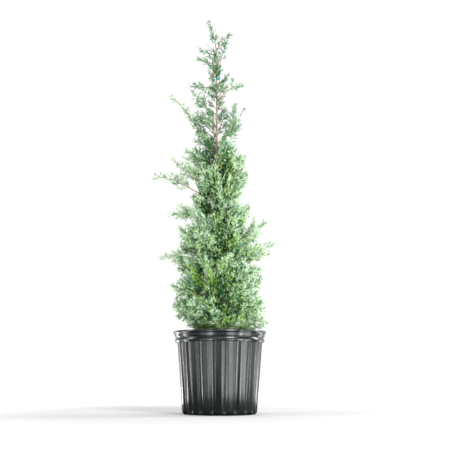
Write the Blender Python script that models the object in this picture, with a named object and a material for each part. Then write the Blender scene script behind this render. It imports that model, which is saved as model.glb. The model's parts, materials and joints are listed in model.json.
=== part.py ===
"""A young blue-green cypress, about a metre tall, growing in a fluted nursery pot.

Metres, +Z up. The origin is the middle of the pot's flat underside, and the viewer stands at -Y.
The trunk runs whole from the potting mix up to the foot of its green leading shoot. Limbs leave it
all round: the stout ones start as a bare bough, the others carry foliage from the trunk outwards.
Every mass of foliage branches by one seeded rule and keeps to the space nearest its own limb.
"""

import bisect
import math
import random
from collections import namedtuple

import bmesh
import bpy
import numpy as np
from mathutils import Matrix, Vector

# Pot
POT_HEIGHT = 0.241
RIM_RADIUS = 0.1397
BODY_TOP_RADIUS = 0.1265
BASE_RADIUS = 0.1095
RIM_DEPTH = 0.034
WALL = 0.0015
FLOOR = 0.002
FLUTES = 20
FLUTE_DEPTH = 0.0038
# The corners of one flute, in degrees from the viewer's side: a land and then a groove.
LAND_CORNERS = (-6.2, 3.2)
GROOVE_CORNERS = (6.2, 8.8)
ROUND_SIDES = 2 * FLUTES
BASE_CHAMFER = (0.0050, 0.006)
# The rim from its underside up and over the lip: inset from the rim's radius, and height.
RIM_BANDS = (
    (0.0080, 0.0000),
    (0.0055, 0.0040),
    (0.0060, 0.0110),
    (0.0085, 0.0135),
    (0.0050, 0.0165),
    (0.0045, 0.0245),
    (0.0000, 0.0275),
    (0.0008, 0.0328),
    (0.0035, 0.0340),
    (0.0078, 0.0315),
)
# The step inside the rim: how far out it goes, and its lower and upper heights.
RIM_STEP = (0.0085, 0.0015, 0.0050)
DRAIN_HOLES = 6
DRAIN_RADIUS = 0.009
DRAIN_INSET = 0.006
DRAIN_TURN = 24
DRAIN_DIP = -0.8
DRAIN_REACH = 0.020

# Potting mix
SOIL_LEVEL = 0.216
SOIL_SEAT_RADIUS = 0.030
SOIL_CROWN_RADIUS = 0.080
SOIL_CROWN = 0.002

# Trunk
TREE_TOP = 1.258
LEADER_FOOT = TREE_TOP - 6 * 0.018
TRUNK_RADIUS = 0.0080
TRUNK_TIP_RADIUS = 0.0009
TRUNK_TAPER = 1.15
ROOT_FLARE = 0.0055
ROOT_FLARE_HEIGHT = 0.012
ROOT_LOBES = 5
TRUNK_LEAN = 0.015
TRUNK_SWAY = 0.004
TIP_NOD = 0.031
TIP_NOD_FROM = 0.88
TRUNK_SIDES = 10
# The heights of its rings: close together in the root flare and where the tip nods over.
TRUNK_FOOT = SOIL_LEVEL + 0.0003
TRUNK_HEIGHTS = [TRUNK_FOOT + step for step in (0, 0.004, 0.010, 0.020, 0.040)]
TRUNK_HEIGHTS += [0.300 + 0.050 * step for step in range(17)]
TRUNK_HEIGHTS += [TREE_TOP - 0.018 * step for step in range(6, -1, -1)]

# Crown
CROWN_FOOT = 0.235
CROWN_RADIUS = 0.150
CROWN_ROUNDING = 0.82
SHOOT_SLEEVE = 0.034

# Boughs
BOUGH_TO_TRUNK = 0.42
BOUGH_MOST_RADIUS = 0.0026
BOUGH_END_SHARE = 0.62
BOUGH_SIDES = 6
BOUGH_RINGS = 6
PATH_POINTS = 33
LEADER_POINTS = 12
LIMB_BOW = 0.006
BOW_TURNS = 61
BOUGH_COLLAR = 0.22

# Foliage
STEM_RADIUS = 0.0014
STEM_END_SHARE = 0.45
STEM_RINGS = 4
FIRST_SPRAY = 0.009
SPRAY_STEP = 0.0106
TWIG_EVERY = 4
TWIG_REACH = 0.052
TWIG_LEAST = 0.024
TWIG_RADIUS = 0.0010
TWIG_END_SHARE = 0.7
TWIG_ANGLE = 50
TWIG_BARE = 0.012
TWIG_BLADE = 0.7
TWIG_SPRAYS = (0.45, 0.85)
SPRAY_LENGTH = 0.062
END_BLADE = 0.040
SPRAY_ANGLE = 42
SPRAY_RIDGE = 0.28
SPRAY_THICKNESS = 0.0017
SPRAY_SINK = 0.35
GOLDEN_ANGLE = 137.5
ATTEMPTS = 6
SHORTEST_EDGE = 0.000003
CUTS = (1.0, 0.85, 0.7, 0.55, 0.42)
SWINGS = (0, 45, -45)
# A tooth's tip and the notch behind it, as shares of the spray's length along and across.
TEETH = ((0.44, 0.25), (0.76, 0.27))
NOTCHES = ((0.38, 0.075), (0.50, 0.062))

# Tie tape
TIE_HEIGHT = 1.041
TIE_WIDTH = 0.0065
TIE_THICKNESS = 0.0008
TIE_SLOPE = 0.45
TIE_SLACK = 0.0005
TIE_DROP = 0.004
TIE_SIDES = 9

# Clearances
GAP = 0.0003
SPACE_GAP = 0.0011
SOIL_CLEAR = 0.006
INSIDE_POT = RIM_RADIUS - 0.022
CLEAR_OF_STEM = 0.004
TEST_STEP = 0.002

UP = Vector((0, 0, 1))

# One limb: where it leaves the trunk (height), which way (azimuth, from +X towards +Y, degrees),
# how far out (reach) and how far up (rise) its tip is, the slopes it leaves and arrives with
# (degrees), and how much of it is bare bough.
Limb = namedtuple("Limb", "name height azimuth reach rise leave arrive bare")

LIMBS_IN_VIEW = (
    Limb("right_1", 0.240, -16, 0.148, 0.027, 30, -5, 0),
    Limb("right_2", 0.262, 20, 0.148, 0.056, 25, 20, 0),
    Limb("right_3", 0.318, -30, 0.144, 0.072, 30, 25, 0),
    Limb("right_4", 0.425, 6, 0.178, 0.085, 25, 15, 0.060),
    Limb("right_5", 0.480, -14, 0.151, 0.091, 30, 35, 0.055),
    Limb("right_6", 0.545, 24, 0.106, 0.088, 35, 45, 0),
    Limb("right_7", 0.630, -12, 0.090, 0.097, 35, 55, 0),
    Limb("right_8", 0.707, 22, 0.090, 0.084, 30, 50, 0),
    Limb("right_9", 0.784, 2, 0.060, 0.173, 5, 72, 0.040),
    Limb("right_10", 0.822, -26, 0.096, 0.104, 15, 55, 0),
    Limb("left_1", 0.262, 197, 0.132, 0.020, 42, -45, 0),
    Limb("left_2", 0.292, 166, 0.150, 0.030, 30, -5, 0),
    Limb("left_3", 0.330, 190, 0.150, 0.046, 25, 15, 0.045),
    Limb("left_4", 0.425, 176, 0.181, 0.041, 40, -12, 0.055),
    Limb("left_5", 0.480, 206, 0.137, 0.068, 35, 25, 0),
    Limb("left_6", 0.572, 169, 0.154, 0.024, 52, -45, 0.050),
    Limb("left_7", 0.645, 182, 0.208, 0.061, 5, -28, 0.080),
    Limb("left_8", 0.672, 198, 0.150, 0.096, 10, 40, 0.055),
    Limb("left_9", 0.745, 171, 0.105, 0.067, 5, 42, 0),
    Limb("left_10", 0.815, 186, 0.154, 0.158, 25, 20, 0.050),
    Limb("left_11", 0.852, 158, 0.070, 0.085, 35, 60, 0),
    Limb("left_12", 0.918, 186, 0.080, 0.078, 30, 55, 0),
    Limb("left_13", 0.995, 172, 0.093, 0.021, 40, -2, 0),
    Limb("left_14", 1.075, 200, 0.068, 0.020, 35, 0, 0),
    Limb("left_15", 1.112, 165, 0.055, 0.026, 45, 10, 0),
    Limb("top_right", 1.138, -5, 0.046, 0.055, 35, 60, 0),
)

# Front and back limbs don't show from the side, so a rule fills them in up the trunk.
DEPTH_SECTORS = (("front", 270, 0.246), ("back", 90, 0.270))
DEPTH_LIMBS = 8
DEPTH_STEP = 0.103
DEPTH_SWING = 38

# The fork on the right near the top: a short arm, a second leader that stands on it, and a shoot
# that goes on outwards from its tip.
ARM_HEIGHT = 0.961
ARM_REACH = 0.024
ARM_RISE = 0.027
ARM_RADIUS = 0.0021
ARM_SEAT = 0.003
SECOND_LEADER_TOP = Vector((0.022, -0.001, 1.163))
SECOND_LEADER_BARE = 0.088
SECOND_LEADER_RADIUS = 0.0015
ARM_SHOOT_TIP = Vector((0.080, -0.004, 1.016))


def clear_scene():
    """Remove the objects that the file opened with."""
    for obj in list(bpy.data.objects):
        bpy.data.objects.remove(obj, do_unlink=True)


def material(name, colour, roughness):
    """A matt or satin surface of one colour."""
    made = bpy.data.materials.new(name)
    made.use_nodes = True
    shader = made.node_tree.nodes["Principled BSDF"]
    shader.inputs["Base Color"].default_value = (*colour, 1)
    shader.inputs["Roughness"].default_value = roughness
    shader.inputs["Metallic"].default_value = 0
    return made


def place(name, mesh, surface, smooth_under=None):
    """Put a mesh in the scene as a named object."""
    obj = bpy.data.objects.new(name, mesh)
    bpy.context.scene.collection.objects.link(obj)
    mesh.materials.clear()
    mesh.materials.append(surface)
    if smooth_under is not None:
        mesh.shade_smooth()
        mesh.set_sharp_from_angle(angle=math.radians(smooth_under))
    return obj


def mesh_of(name, points, faces):
    """A mesh with its faces turned outwards."""
    shape = bmesh.new()
    made = [shape.verts.new(point) for point in points]
    for face in faces:
        shape.faces.new([made[i] for i in face])
    bmesh.ops.recalc_face_normals(shape, faces=shape.faces)
    mesh = bpy.data.meshes.new(name)
    shape.to_mesh(mesh)
    shape.free()
    return mesh


# Trunk line and crown outline

def trunk_share(height):
    """0 at the potting mix, 1 at the top of the tree."""
    return (height - SOIL_LEVEL) / (TREE_TOP - SOIL_LEVEL)


def trunk_curve(height):
    """The trunk's centre: a slight lean and sway, and a leading shoot that nods over."""
    share = trunk_share(height)
    nod = max(0.0, (share - TIP_NOD_FROM) / (1 - TIP_NOD_FROM)) ** 1.3
    across = -TRUNK_LEAN * share + 0.4 * TRUNK_SWAY * math.sin(9 * share) - TIP_NOD * nod
    deep = TRUNK_SWAY * math.sin(7 * share)
    return Vector((across, deep, height))


def trunk_point(height):
    """The trunk's centre as it is built, straight between its rings."""
    after = min(bisect.bisect_right(TRUNK_HEIGHTS, height), len(TRUNK_HEIGHTS) - 1)
    low, high = TRUNK_HEIGHTS[after - 1], TRUNK_HEIGHTS[after]
    return trunk_curve(low).lerp(trunk_curve(high), (height - low) / (high - low))


def trunk_radius(height):
    """The trunk's taper, without its root flare."""
    share = min(1.0, max(0.0, trunk_share(height)))
    taper = (TRUNK_RADIUS - TRUNK_TIP_RADIUS) * (1 - share) ** TRUNK_TAPER
    return TRUNK_TIP_RADIUS + taper


def flare(height):
    """How far the root flare stands out of the trunk."""
    return ROOT_FLARE * math.exp(-(height - SOIL_LEVEL) / ROOT_FLARE_HEIGHT)


def crown_radius(height):
    """The crown's outline: a narrow cone, drawn in a little just above the rim."""
    share = min(1.0, max(0.0, (height - CROWN_FOOT) / (TREE_TOP - CROWN_FOOT)))
    shoulder = min(1.0, 0.70 + 3.6 * share)
    return CROWN_RADIUS * shoulder * (1 - share) ** CROWN_ROUNDING


# Tubes

def tube(name, path, radii, sides, first_plane=None):
    """A closed tapering tube. first_plane, two directions, lays its first ring in a given plane."""
    points = []
    side = None
    for i, centre in enumerate(path):
        along = (path[min(i + 1, len(path) - 1)] - path[max(i - 1, 0)]).normalized()
        if side is None:
            side = along.orthogonal().normalized()
        side = (side - side.dot(along) * along).normalized()
        across = along.cross(side)
        ring = (side, across)
        if i == 0 and first_plane is not None:
            ring = plane_axes_like(ring, first_plane)
        for k in range(sides):
            turn = 2 * math.pi * k / sides
            points.append(centre + radii[i] * (math.cos(turn) * ring[0] + math.sin(turn) * ring[1]))
    faces = [list(range(sides))[::-1]]
    for i in range(len(path) - 1):
        for k in range(sides):
            a, b = i * sides + k, i * sides + (k + 1) % sides
            faces.append([a, b, b + sides, a + sides])
    faces.append(list(range(len(points) - sides, len(points))))
    return mesh_of(name, points, faces)


def plane_axes_like(ring, plane):
    """Two directions in a plane, turned to match the ring's own as nearly as they can."""
    normal = plane[0].cross(plane[1]).normalized()
    first = (ring[0] - ring[0].dot(normal) * normal).normalized()
    second = normal.cross(first)
    return (first, second) if second.dot(ring[1]) > 0 else (first, -second)


def lengths_along(path):
    """Distance from the first point to each point of the path."""
    found = [0.0]
    for before, after in zip(path, path[1:]):
        found.append(found[-1] + (after - before).length)
    return found


def point_at(path, distance):
    """The point and the direction at a distance along a path."""
    travelled = 0.0
    for before, after in zip(path, path[1:]):
        step = (after - before).length
        if travelled + step >= distance or after is path[-1]:
            share = (distance - travelled) / step
            return before.lerp(after, share), (after - before).normalized()
        travelled += step
    return path[-1], UP


def stretch(path, start, end, count):
    """Evenly spaced points between two distances along a path."""
    return [point_at(path, start + (end - start) * i / (count - 1))[0] for i in range(count)]


def arc(start, end, leave, arrive, count=PATH_POINTS):
    """A smooth curve with given directions at both ends."""
    reach = (end - start).length
    path = []
    for i in range(count):
        t = i / (count - 1)
        path.append(
            (2 * t**3 - 3 * t**2 + 1) * start
            + (t**3 - 2 * t**2 + t) * reach * leave
            + (3 * t**2 - 2 * t**3) * end
            + (t**3 - t**2) * reach * arrive
        )
    return path


# Limbs

class Branch:
    """A limb as it is built: its path, its bare bough, and the leafy stem beyond it."""

    def __init__(self, name, path, plane, radius, bare):
        self.name = name
        self.path = path
        self.plane = plane
        self.radius = radius
        self.bare = bare
        self.length = lengths_along(path)[-1]

    def bough_mesh(self):
        """The bare part, with a small collar where it leaves the wood that carries it."""
        path = stretch(self.path, 0, self.bare, BOUGH_RINGS)
        radii = []
        for i in range(BOUGH_RINGS):
            share = i / (BOUGH_RINGS - 1)
            collar = BOUGH_COLLAR if i == 0 else 0.0
            radii.append(self.radius * (1 + collar + (BOUGH_END_SHARE - 1) * share))
        return tube("bough", path, radii, BOUGH_SIDES, self.plane)

    def bough_radius(self, distance):
        """The bare bough's radius at a distance from its foot."""
        return self.radius * (1 + (BOUGH_END_SHARE - 1) * distance / self.bare)


def slope(azimuth, rise):
    """A direction from its azimuth and its elevation, in degrees."""
    turn, lift = math.radians(azimuth), math.radians(rise)
    return Vector((math.cos(turn) * math.cos(lift), math.sin(turn) * math.cos(lift), math.sin(lift)))


def leave_wood(path, axis, wood_radius):
    """Where a path comes 0.3 mm clear of the limb that carries it: the rest of it, and that plane."""
    direction = (path[1] - path[0]).normalized()
    normal = (direction - direction.dot(axis) * axis).normalized()
    origin = path[0].copy()
    clear = wood_radius + GAP
    for i, (before, after) in enumerate(zip(path, path[1:])):
        inner, outer = (before - origin).dot(normal), (after - origin).dot(normal)
        if outer > clear:
            start = before.lerp(after, (clear - inner) / (outer - inner))
            return [start, *path[i + 1 :]], (axis, normal.cross(axis))
    raise ValueError("the path never leaves its parent")


def branch_from_trunk(limb):
    """A limb that leaves the trunk at its own height."""
    start = trunk_point(limb.height)
    tip = start + limb.reach * slope(limb.azimuth, 0) + limb.rise * UP
    path = arc(start, tip, slope(limb.azimuth, limb.leave), slope(limb.azimuth, limb.arrive))
    bow = LIMB_BOW * math.sin(BOW_TURNS * limb.height)
    sideways = slope(limb.azimuth + 90, 0)
    for i, point in enumerate(path):
        path[i] = point + bow * math.sin(math.pi * i / (len(path) - 1)) * sideways
    wood = trunk_radius(limb.height) + flare(limb.height)
    axis = (trunk_point(limb.height + 0.01) - trunk_point(limb.height - 0.01)).normalized()
    path, plane = leave_wood(path, axis, wood)
    radius = min(BOUGH_MOST_RADIUS, BOUGH_TO_TRUNK * trunk_radius(limb.height) + 0.0006)
    return Branch(limb.name, path, plane, radius, limb.bare)


def depth_limbs():
    """The limbs towards and away from the viewer."""
    for side, middle, foot in DEPTH_SECTORS:
        for level in range(DEPTH_LIMBS):
            height = foot + DEPTH_STEP * level
            swing = DEPTH_SWING * (1 if level % 2 else -1) * (1 - 0.06 * level)
            rise = 0.50 * crown_radius(height) + 0.012
            reach = 1.04 * crown_radius(height + rise)
            name = f"{side}_{level + 1}"
            yield Limb(name, height, middle + swing, reach, rise, 38, 22 + 5 * level, 0)


def fork_branches():
    """The arm near the top, the second leader on it and the shoot from its tip."""
    foot = trunk_point(ARM_HEIGHT)
    tip = foot + Vector((ARM_REACH, 0, ARM_RISE))
    arm = arc(foot, tip, slope(0, 35), slope(0, 55))
    path, plane = leave_wood(arm, UP, trunk_radius(ARM_HEIGHT))
    made_arm = Branch("arm", path, plane, ARM_RADIUS, lengths_along(path)[-1])
    seat, along = point_at(path, made_arm.bare - ARM_SEAT)
    leader = arc(seat, SECOND_LEADER_TOP, slope(155, 62), slope(0, 66))
    path, plane = leave_wood(leader, along, made_arm.bough_radius(made_arm.bare))
    second = Branch("second_leader", path, plane, SECOND_LEADER_RADIUS, SECOND_LEADER_BARE)
    end, along = point_at(made_arm.path, made_arm.bare)
    shoot = arc(end + GAP * along, ARM_SHOOT_TIP, along, slope(0, 5))
    return [made_arm, second, Branch("arm_shoot", shoot, None, STEM_RADIUS, 0)]


def leader_branch():
    """The green leading shoot above the trunk."""
    start = LEADER_FOOT + GAP
    step = (TREE_TOP - start) / (LEADER_POINTS - 1)
    path = [trunk_point(start + step * i) for i in range(LEADER_POINTS)]
    return Branch("leader", path, None, STEM_RADIUS, 0)


def all_branches():
    """Every limb of the crown, from the bottom of each group upwards."""
    limbs = [*LIMBS_IN_VIEW, *depth_limbs()]
    return [branch_from_trunk(limb) for limb in limbs] + fork_branches() + [leader_branch()]


# The space that each mass of foliage keeps to

class Space:
    """Tells whether a point is in the space nearest one limb, and clear of wood and pot."""

    def __init__(self, branches):
        starts, ends, owners, woods = [], [], [], []
        for index, branch in enumerate(branches):
            travelled = lengths_along(branch.path)
            for i, (before, after) in enumerate(zip(branch.path, branch.path[1:])):
                starts.append(before)
                ends.append(after)
                owners.append(index)
                bare = travelled[i] < branch.bare
                woods.append(branch.bough_radius(travelled[i]) if bare else 0.0)
        self.starts = np.array(starts)
        self.runs = np.array(ends) - self.starts
        self.squares = (self.runs**2).sum(axis=1)
        self.owners = np.array(owners)
        self.woods = np.array(woods)

    def holds(self, index, points):
        """Whether every one of the points is inside the space."""
        points = np.array(points)
        offset = points[:, None, :] - self.starts[None, :, :]
        share = np.clip((offset * self.runs).sum(axis=2) / self.squares, 0, 1)
        distance = np.sqrt(((offset - share[:, :, None] * self.runs) ** 2).sum(axis=2))
        own = self.owners == index
        nearest = distance[:, own].min(axis=1)
        if (distance[:, ~own].min(axis=1) - nearest).min() < 2 * SPACE_GAP:
            return False
        bare = self.woods > 0
        if (distance[:, bare] - self.woods[bare]).min() < SPACE_GAP:
            return False
        for point, near in zip(points, nearest):
            spot = Vector(point)
            if not (self.clear_of_trunk(spot) and self.in_crown(spot, near)):
                return False
        return True

    @staticmethod
    def clear_of_trunk(point):
        """Whether a point is outside the trunk, with its margin."""
        height = min(point.z, LEADER_FOOT)
        away = (point - trunk_point(height)).length
        return away > trunk_radius(height) + flare(height) + SPACE_GAP

    @staticmethod
    def in_crown(point, nearest):
        """Whether a point is above pot and potting mix, and inside the crown or near its own limb."""
        out = math.hypot(point.x, point.y)
        floor = SOIL_LEVEL if out < INSIDE_POT else POT_HEIGHT
        if not floor + SOIL_CLEAR < point.z < TREE_TOP - SOIL_CLEAR:
            return False
        return nearest < SHOOT_SLEEVE or out < crown_radius(point.z)


def along_line(start, end):
    """Points along a line, close enough together that no limb fits between them."""
    count = max(2, math.ceil((end - start).length / TEST_STEP) + 1)
    return [start.lerp(end, i / (count - 1)) for i in range(count)]


# Foliage

def blade_faces(outline, top, bottom):
    """Two fans of faces over the outline of a blade, which starts and ends at its root."""
    faces = []
    for i, after in zip(outline, outline[1:]):
        faces += [[i, after, top], [after, i, bottom]]
    return faces


def blade_outline(root, along, across, length, pairs):
    """One side of a toothed blade, its tip, and the other side."""
    side = []
    for tooth, notch in zip(TEETH[2 - pairs :], NOTCHES[2 - pairs :]):
        side += [tooth, notch]
    shape = side + [(1.0, 0.0)] + [(x, -y) for x, y in reversed(side)]
    return [root + length * (x * along + y * across) for x, y in shape]


def spray_mesh(root, along, face, length):
    """A flat three-pronged blade, thickest on a short ridge near its root."""
    across = along.cross(face).normalized()
    outline = blade_outline(root, along, across, length, 1)
    middle = root + SPRAY_RIDGE * length * along
    half = 0.5 * SPRAY_THICKNESS * across.cross(along)
    points = [root, *outline, middle + half, middle - half]
    loop = [*range(len(outline) + 1), 0]
    return mesh_of("spray", points, blade_faces(loop, len(points) - 2, len(points) - 1))


def shoot_mesh(path, radii, face, length, plane=None):
    """A tapering twig with four sides, which ends in a toothed blade of the given length."""
    along = (path[-1] - path[-2]).normalized()
    across = along.cross(face).normalized()
    points = []
    for i, centre in enumerate(path):
        toward = (path[min(i + 1, len(path) - 1)] - path[max(i - 1, 0)]).normalized()
        side = (across - across.dot(toward) * toward).normalized()
        ring = (side, side.cross(toward))
        if i == 0 and plane is not None:
            ring = plane_axes_like(ring, plane)
        for first, second in ((1, 0), (0, 1), (-1, 0), (0, -1)):
            points.append(centre + radii[i] * (first * ring[0] + second * ring[1]))
    faces = [[3, 2, 1, 0]]
    for low in range(0, len(points) - 4, 4):
        faces += [[low + k, low + (k + 1) % 4, low + 4 + (k + 1) % 4, low + 4 + k] for k in range(4)]
    side, top, other, bottom = range(len(points) - 4, len(points))
    outline = blade_outline(path[-1], along, across, length, 2)
    loop = [side, *range(len(points), len(points) + len(outline)), other]
    return mesh_of("shoot", points + outline, faces + blade_faces(loop, top, bottom))


def tilted(along, turn, angle):
    """A direction at an angle to another, turned round it. Both are in degrees."""
    side = along.orthogonal().normalized()
    side.rotate(Matrix.Rotation(math.radians(turn), 3, along))
    tilt = math.radians(angle)
    return (math.cos(tilt) * along + math.sin(tilt) * side).normalized()


class Mass:
    """One mass of foliage, as the pieces that a Boolean union will join."""

    def __init__(self, index, branch, space, dice):
        self.index = index
        self.branch = branch
        self.space = space
        self.dice = dice
        self.meshes = []

    def spray(self, root, parent, turn, wood):
        """Add a spray on a stem or twig, turned aside or shortened until it fits."""
        full = SPRAY_LENGTH * self.dice.uniform(0.85, 1.1)
        spin = self.dice.uniform(-50, 50)
        for cut in CUTS:
            for swing in SWINGS:
                along = tilted(parent, turn + swing, SPRAY_ANGLE)
                face = tilted(along, spin, 90)
                across = along.cross(face).normalized()
                length = full * cut
                tried = along_line(root + CLEAR_OF_STEM * along, root + length * along)
                out, aside = TEETH[-1]
                for side in (aside, -aside):
                    tooth = root + length * (out * along + side * across)
                    tried += along_line(root + 0.6 * out * length * along, tooth)
                if self.space.holds(self.index, tried):
                    sink = SPRAY_SINK * wood
                    sunk = root - sink * along
                    self.meshes.append(spray_mesh(sunk, along, face, length + sink))
                    return

    def twig(self, root, parent, turn, length):
        """Add a twig that ends in a blade, with a spray at each side."""
        for cut in CUTS[:-1]:
            for swing in SWINGS:
                along = tilted(parent, turn + swing, TWIG_ANGLE)
                end = root + length * cut * along
                blade = TWIG_BLADE * SPRAY_LENGTH * cut
                tried = along_line(root + CLEAR_OF_STEM * along, end + blade * along)
                if not self.space.holds(self.index, tried):
                    continue
                face = tilted(along, self.dice.uniform(0, 360), 90)
                radii = [TWIG_RADIUS, TWIG_END_SHARE * TWIG_RADIUS]
                self.meshes.append(shoot_mesh([root, end], radii, face, blade))
                aside = self.dice.uniform(0, 360)
                for share in TWIG_SPRAYS:
                    if share * length * cut > TWIG_BARE:
                        self.spray(root.lerp(end, share), along, aside, 0.6 * TWIG_RADIUS)
                    aside += 180
                return
        self.spray(root, parent, turn, TWIG_RADIUS)

    def grow(self):
        """The stem, then sprays and twigs all round it by the golden angle, shorter towards its tip."""
        path, length = self.branch.path, self.branch.length
        start = self.branch.bare + GAP if self.branch.bare else 0.0
        leafy = length - start
        stem_end = length - min(END_BLADE, 0.45 * leafy)
        foot_radius = STEM_RADIUS
        if self.branch.bare:
            foot_radius = 0.85 * self.branch.bough_radius(self.branch.bare)
        radii = []
        for i in range(STEM_RINGS):
            radii.append(foot_radius * (1 + (STEM_END_SHARE - 1) * i / (STEM_RINGS - 1)))
        plane = None if self.branch.bare else self.branch.plane
        stem = stretch(path, start, stem_end, STEM_RINGS)
        blade = path[-1] - stem[-1]
        face = tilted(blade.normalized(), self.dice.uniform(0, 360), 90)
        self.meshes.append(shoot_mesh(stem, radii, face, blade.length, plane))
        stem_run = lengths_along(stem)[-1]
        distance = min(FIRST_SPRAY, 0.2 * leafy)
        turn = self.dice.uniform(0, 360)
        count = self.dice.randrange(TWIG_EVERY)
        while distance < stem_run - 0.003:
            share = distance / leafy
            root, along = point_at(stem, distance)
            wood = foot_radius * (1 + (STEM_END_SHARE - 1) * distance / stem_run)
            reach = TWIG_REACH * (1 - 0.6 * share) * self.dice.uniform(0.8, 1.15)
            if count % TWIG_EVERY == 0 and reach > TWIG_LEAST:
                self.twig(root, along, turn, reach)
            else:
                self.spray(root, along, turn, wood)
            count += 1
            turn += GOLDEN_ANGLE + self.dice.uniform(-18, 18)
            distance += SPRAY_STEP * self.dice.uniform(0.85, 1.15)


def keep_largest_body(mesh):
    """Drop loose scraps and fill sealed hollows, and tell whether the surface that stays is sound."""
    shape = bmesh.new()
    shape.from_mesh(mesh)
    left, bodies = set(shape.verts), []
    while left:
        body, frontier = set(), [left.pop()]
        while frontier:
            vertex = frontier.pop()
            body.add(vertex)
            for link in vertex.link_edges:
                other = link.other_vert(vertex)
                if other in left:
                    left.remove(other)
                    frontier.append(other)
        bodies.append(body)
    largest = max(bodies, key=len)
    loose = [vertex for body in bodies if body is not largest for vertex in body]
    bmesh.ops.delete(shape, geom=loose, context="VERTS")
    bmesh.ops.triangulate(shape, faces=shape.faces)
    sound = all(len(edge.link_faces) == 2 for edge in shape.edges)
    sound = sound and min(edge.calc_length() for edge in shape.edges) > SHORTEST_EDGE
    shape.to_mesh(mesh)
    shape.free()
    return sound


def grow_mass(index, branch, space, surface):
    """Grow a mass and fuse it, from another seed where the union leaves a flawed edge."""
    for attempt in range(ATTEMPTS):
        mass = Mass(index, branch, space, random.Random(1000 * attempt + index))
        mass.grow()
        core, sound = fuse("foliage_" + branch.name, mass.meshes, surface)
        if sound or attempt == ATTEMPTS - 1:
            return
        bpy.data.objects.remove(core, do_unlink=True)


def fuse(name, meshes, surface):
    """Join the pieces of a mass into one solid by one Boolean union, and tell whether it is sound."""
    core = place(name, meshes[0], surface)
    group = bpy.data.collections.new(name + "_pieces")
    bpy.context.scene.collection.children.link(group)
    for mesh in meshes[1:]:
        group.objects.link(bpy.data.objects.new("piece", mesh))
    union = core.modifiers.new("Fuse", "BOOLEAN")
    union.operation = "UNION"
    union.operand_type = "COLLECTION"
    union.collection = group
    union.solver = "MANIFOLD"
    bpy.context.view_layer.update()
    graph = bpy.context.evaluated_depsgraph_get()
    fused = bpy.data.meshes.new_from_object(core.evaluated_get(graph))
    core.modifiers.clear()
    core.data = fused
    for obj in list(group.objects):
        bpy.data.objects.remove(obj, do_unlink=True)
    bpy.data.collections.remove(group)
    sound = keep_largest_body(fused)
    fused.materials.clear()
    fused.materials.append(surface)
    return core, sound


# Pot, potting mix and trunk

def ring(radius, height, sides):
    """A round ring of points. The radius may be a function of the angle."""
    points = []
    for k in range(sides):
        turn = 2 * math.pi * k / sides - math.pi / 2
        out = radius(turn) if callable(radius) else radius
        points.append(Vector((out * math.cos(turn), out * math.sin(turn), height)))
    return points


def fluted_ring(radius, height):
    """Flat lands with grooves between them, four corners to each flute."""
    corners = [(angle, radius) for angle in LAND_CORNERS]
    corners += [(angle, radius - FLUTE_DEPTH) for angle in GROOVE_CORNERS]
    points = []
    for flute in range(FLUTES):
        for angle, out in corners:
            turn = math.radians(360 * flute / FLUTES - 90 + angle)
            points.append(Vector((out * math.cos(turn), out * math.sin(turn), height)))
    return points


def skin(rings):
    """Faces between rings. A ring may have half as many points as the one before, or twice."""
    points, faces, starts = [], [], []
    for one in rings:
        starts.append(len(points))
        points += one
    for (a, first), (b, second) in zip(zip(starts, rings), zip(starts[1:], rings[1:])):
        if len(first) == len(second):
            n = len(first)
            faces += [[a + k, a + (k + 1) % n, b + (k + 1) % n, b + k] for k in range(n)]
            continue
        fine, coarse, n = (a, b, len(second)) if len(first) > len(second) else (b, a, len(first))
        for k in range(n):
            low, high = coarse + k, coarse + (k + 1) % n
            left, middle = fine + 2 * k, fine + 2 * k + 1
            right = fine + (2 * k + 2) % (2 * n)
            faces += [[left, middle, low], [middle, high, low], [middle, right, high]]
    faces.append(list(range(len(rings[0]))))
    faces.append(list(range(starts[-1], len(points))))
    return points, faces


def inner_radius(height):
    """The pot's round inside, below the rim."""
    share = height / (POT_HEIGHT - RIM_DEPTH)
    outside = BASE_RADIUS + (BODY_TOP_RADIUS - BASE_RADIUS) * share
    return outside - FLUTE_DEPTH - WALL


def make_pot(surface):
    """A fluted, tapering wall under a rim of two beads and a rolled lip."""
    under_rim = POT_HEIGHT - RIM_DEPTH
    inset, start = BASE_CHAMFER
    wall = [
        ring(BASE_RADIUS - inset, 0, ROUND_SIDES),
        fluted_ring(BASE_RADIUS, start),
        fluted_ring(BODY_TOP_RADIUS, under_rim),
    ]
    out, low, high = RIM_STEP
    turned = [(RIM_RADIUS - inset, under_rim + height) for inset, height in RIM_BANDS]
    turned.append((inner_radius(under_rim) + out, under_rim + high))
    turned.append((inner_radius(under_rim), under_rim + low))
    turned.append((inner_radius(FLOOR), FLOOR))
    points, faces = skin(wall + [ring(radius, height, ROUND_SIDES) for radius, height in turned])
    pot = place("pot", mesh_of("pot", points, faces), surface)
    drill_drain_holes(pot)
    pot.data.shade_smooth()
    pot.data.set_sharp_from_angle(angle=math.radians(25))


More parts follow.
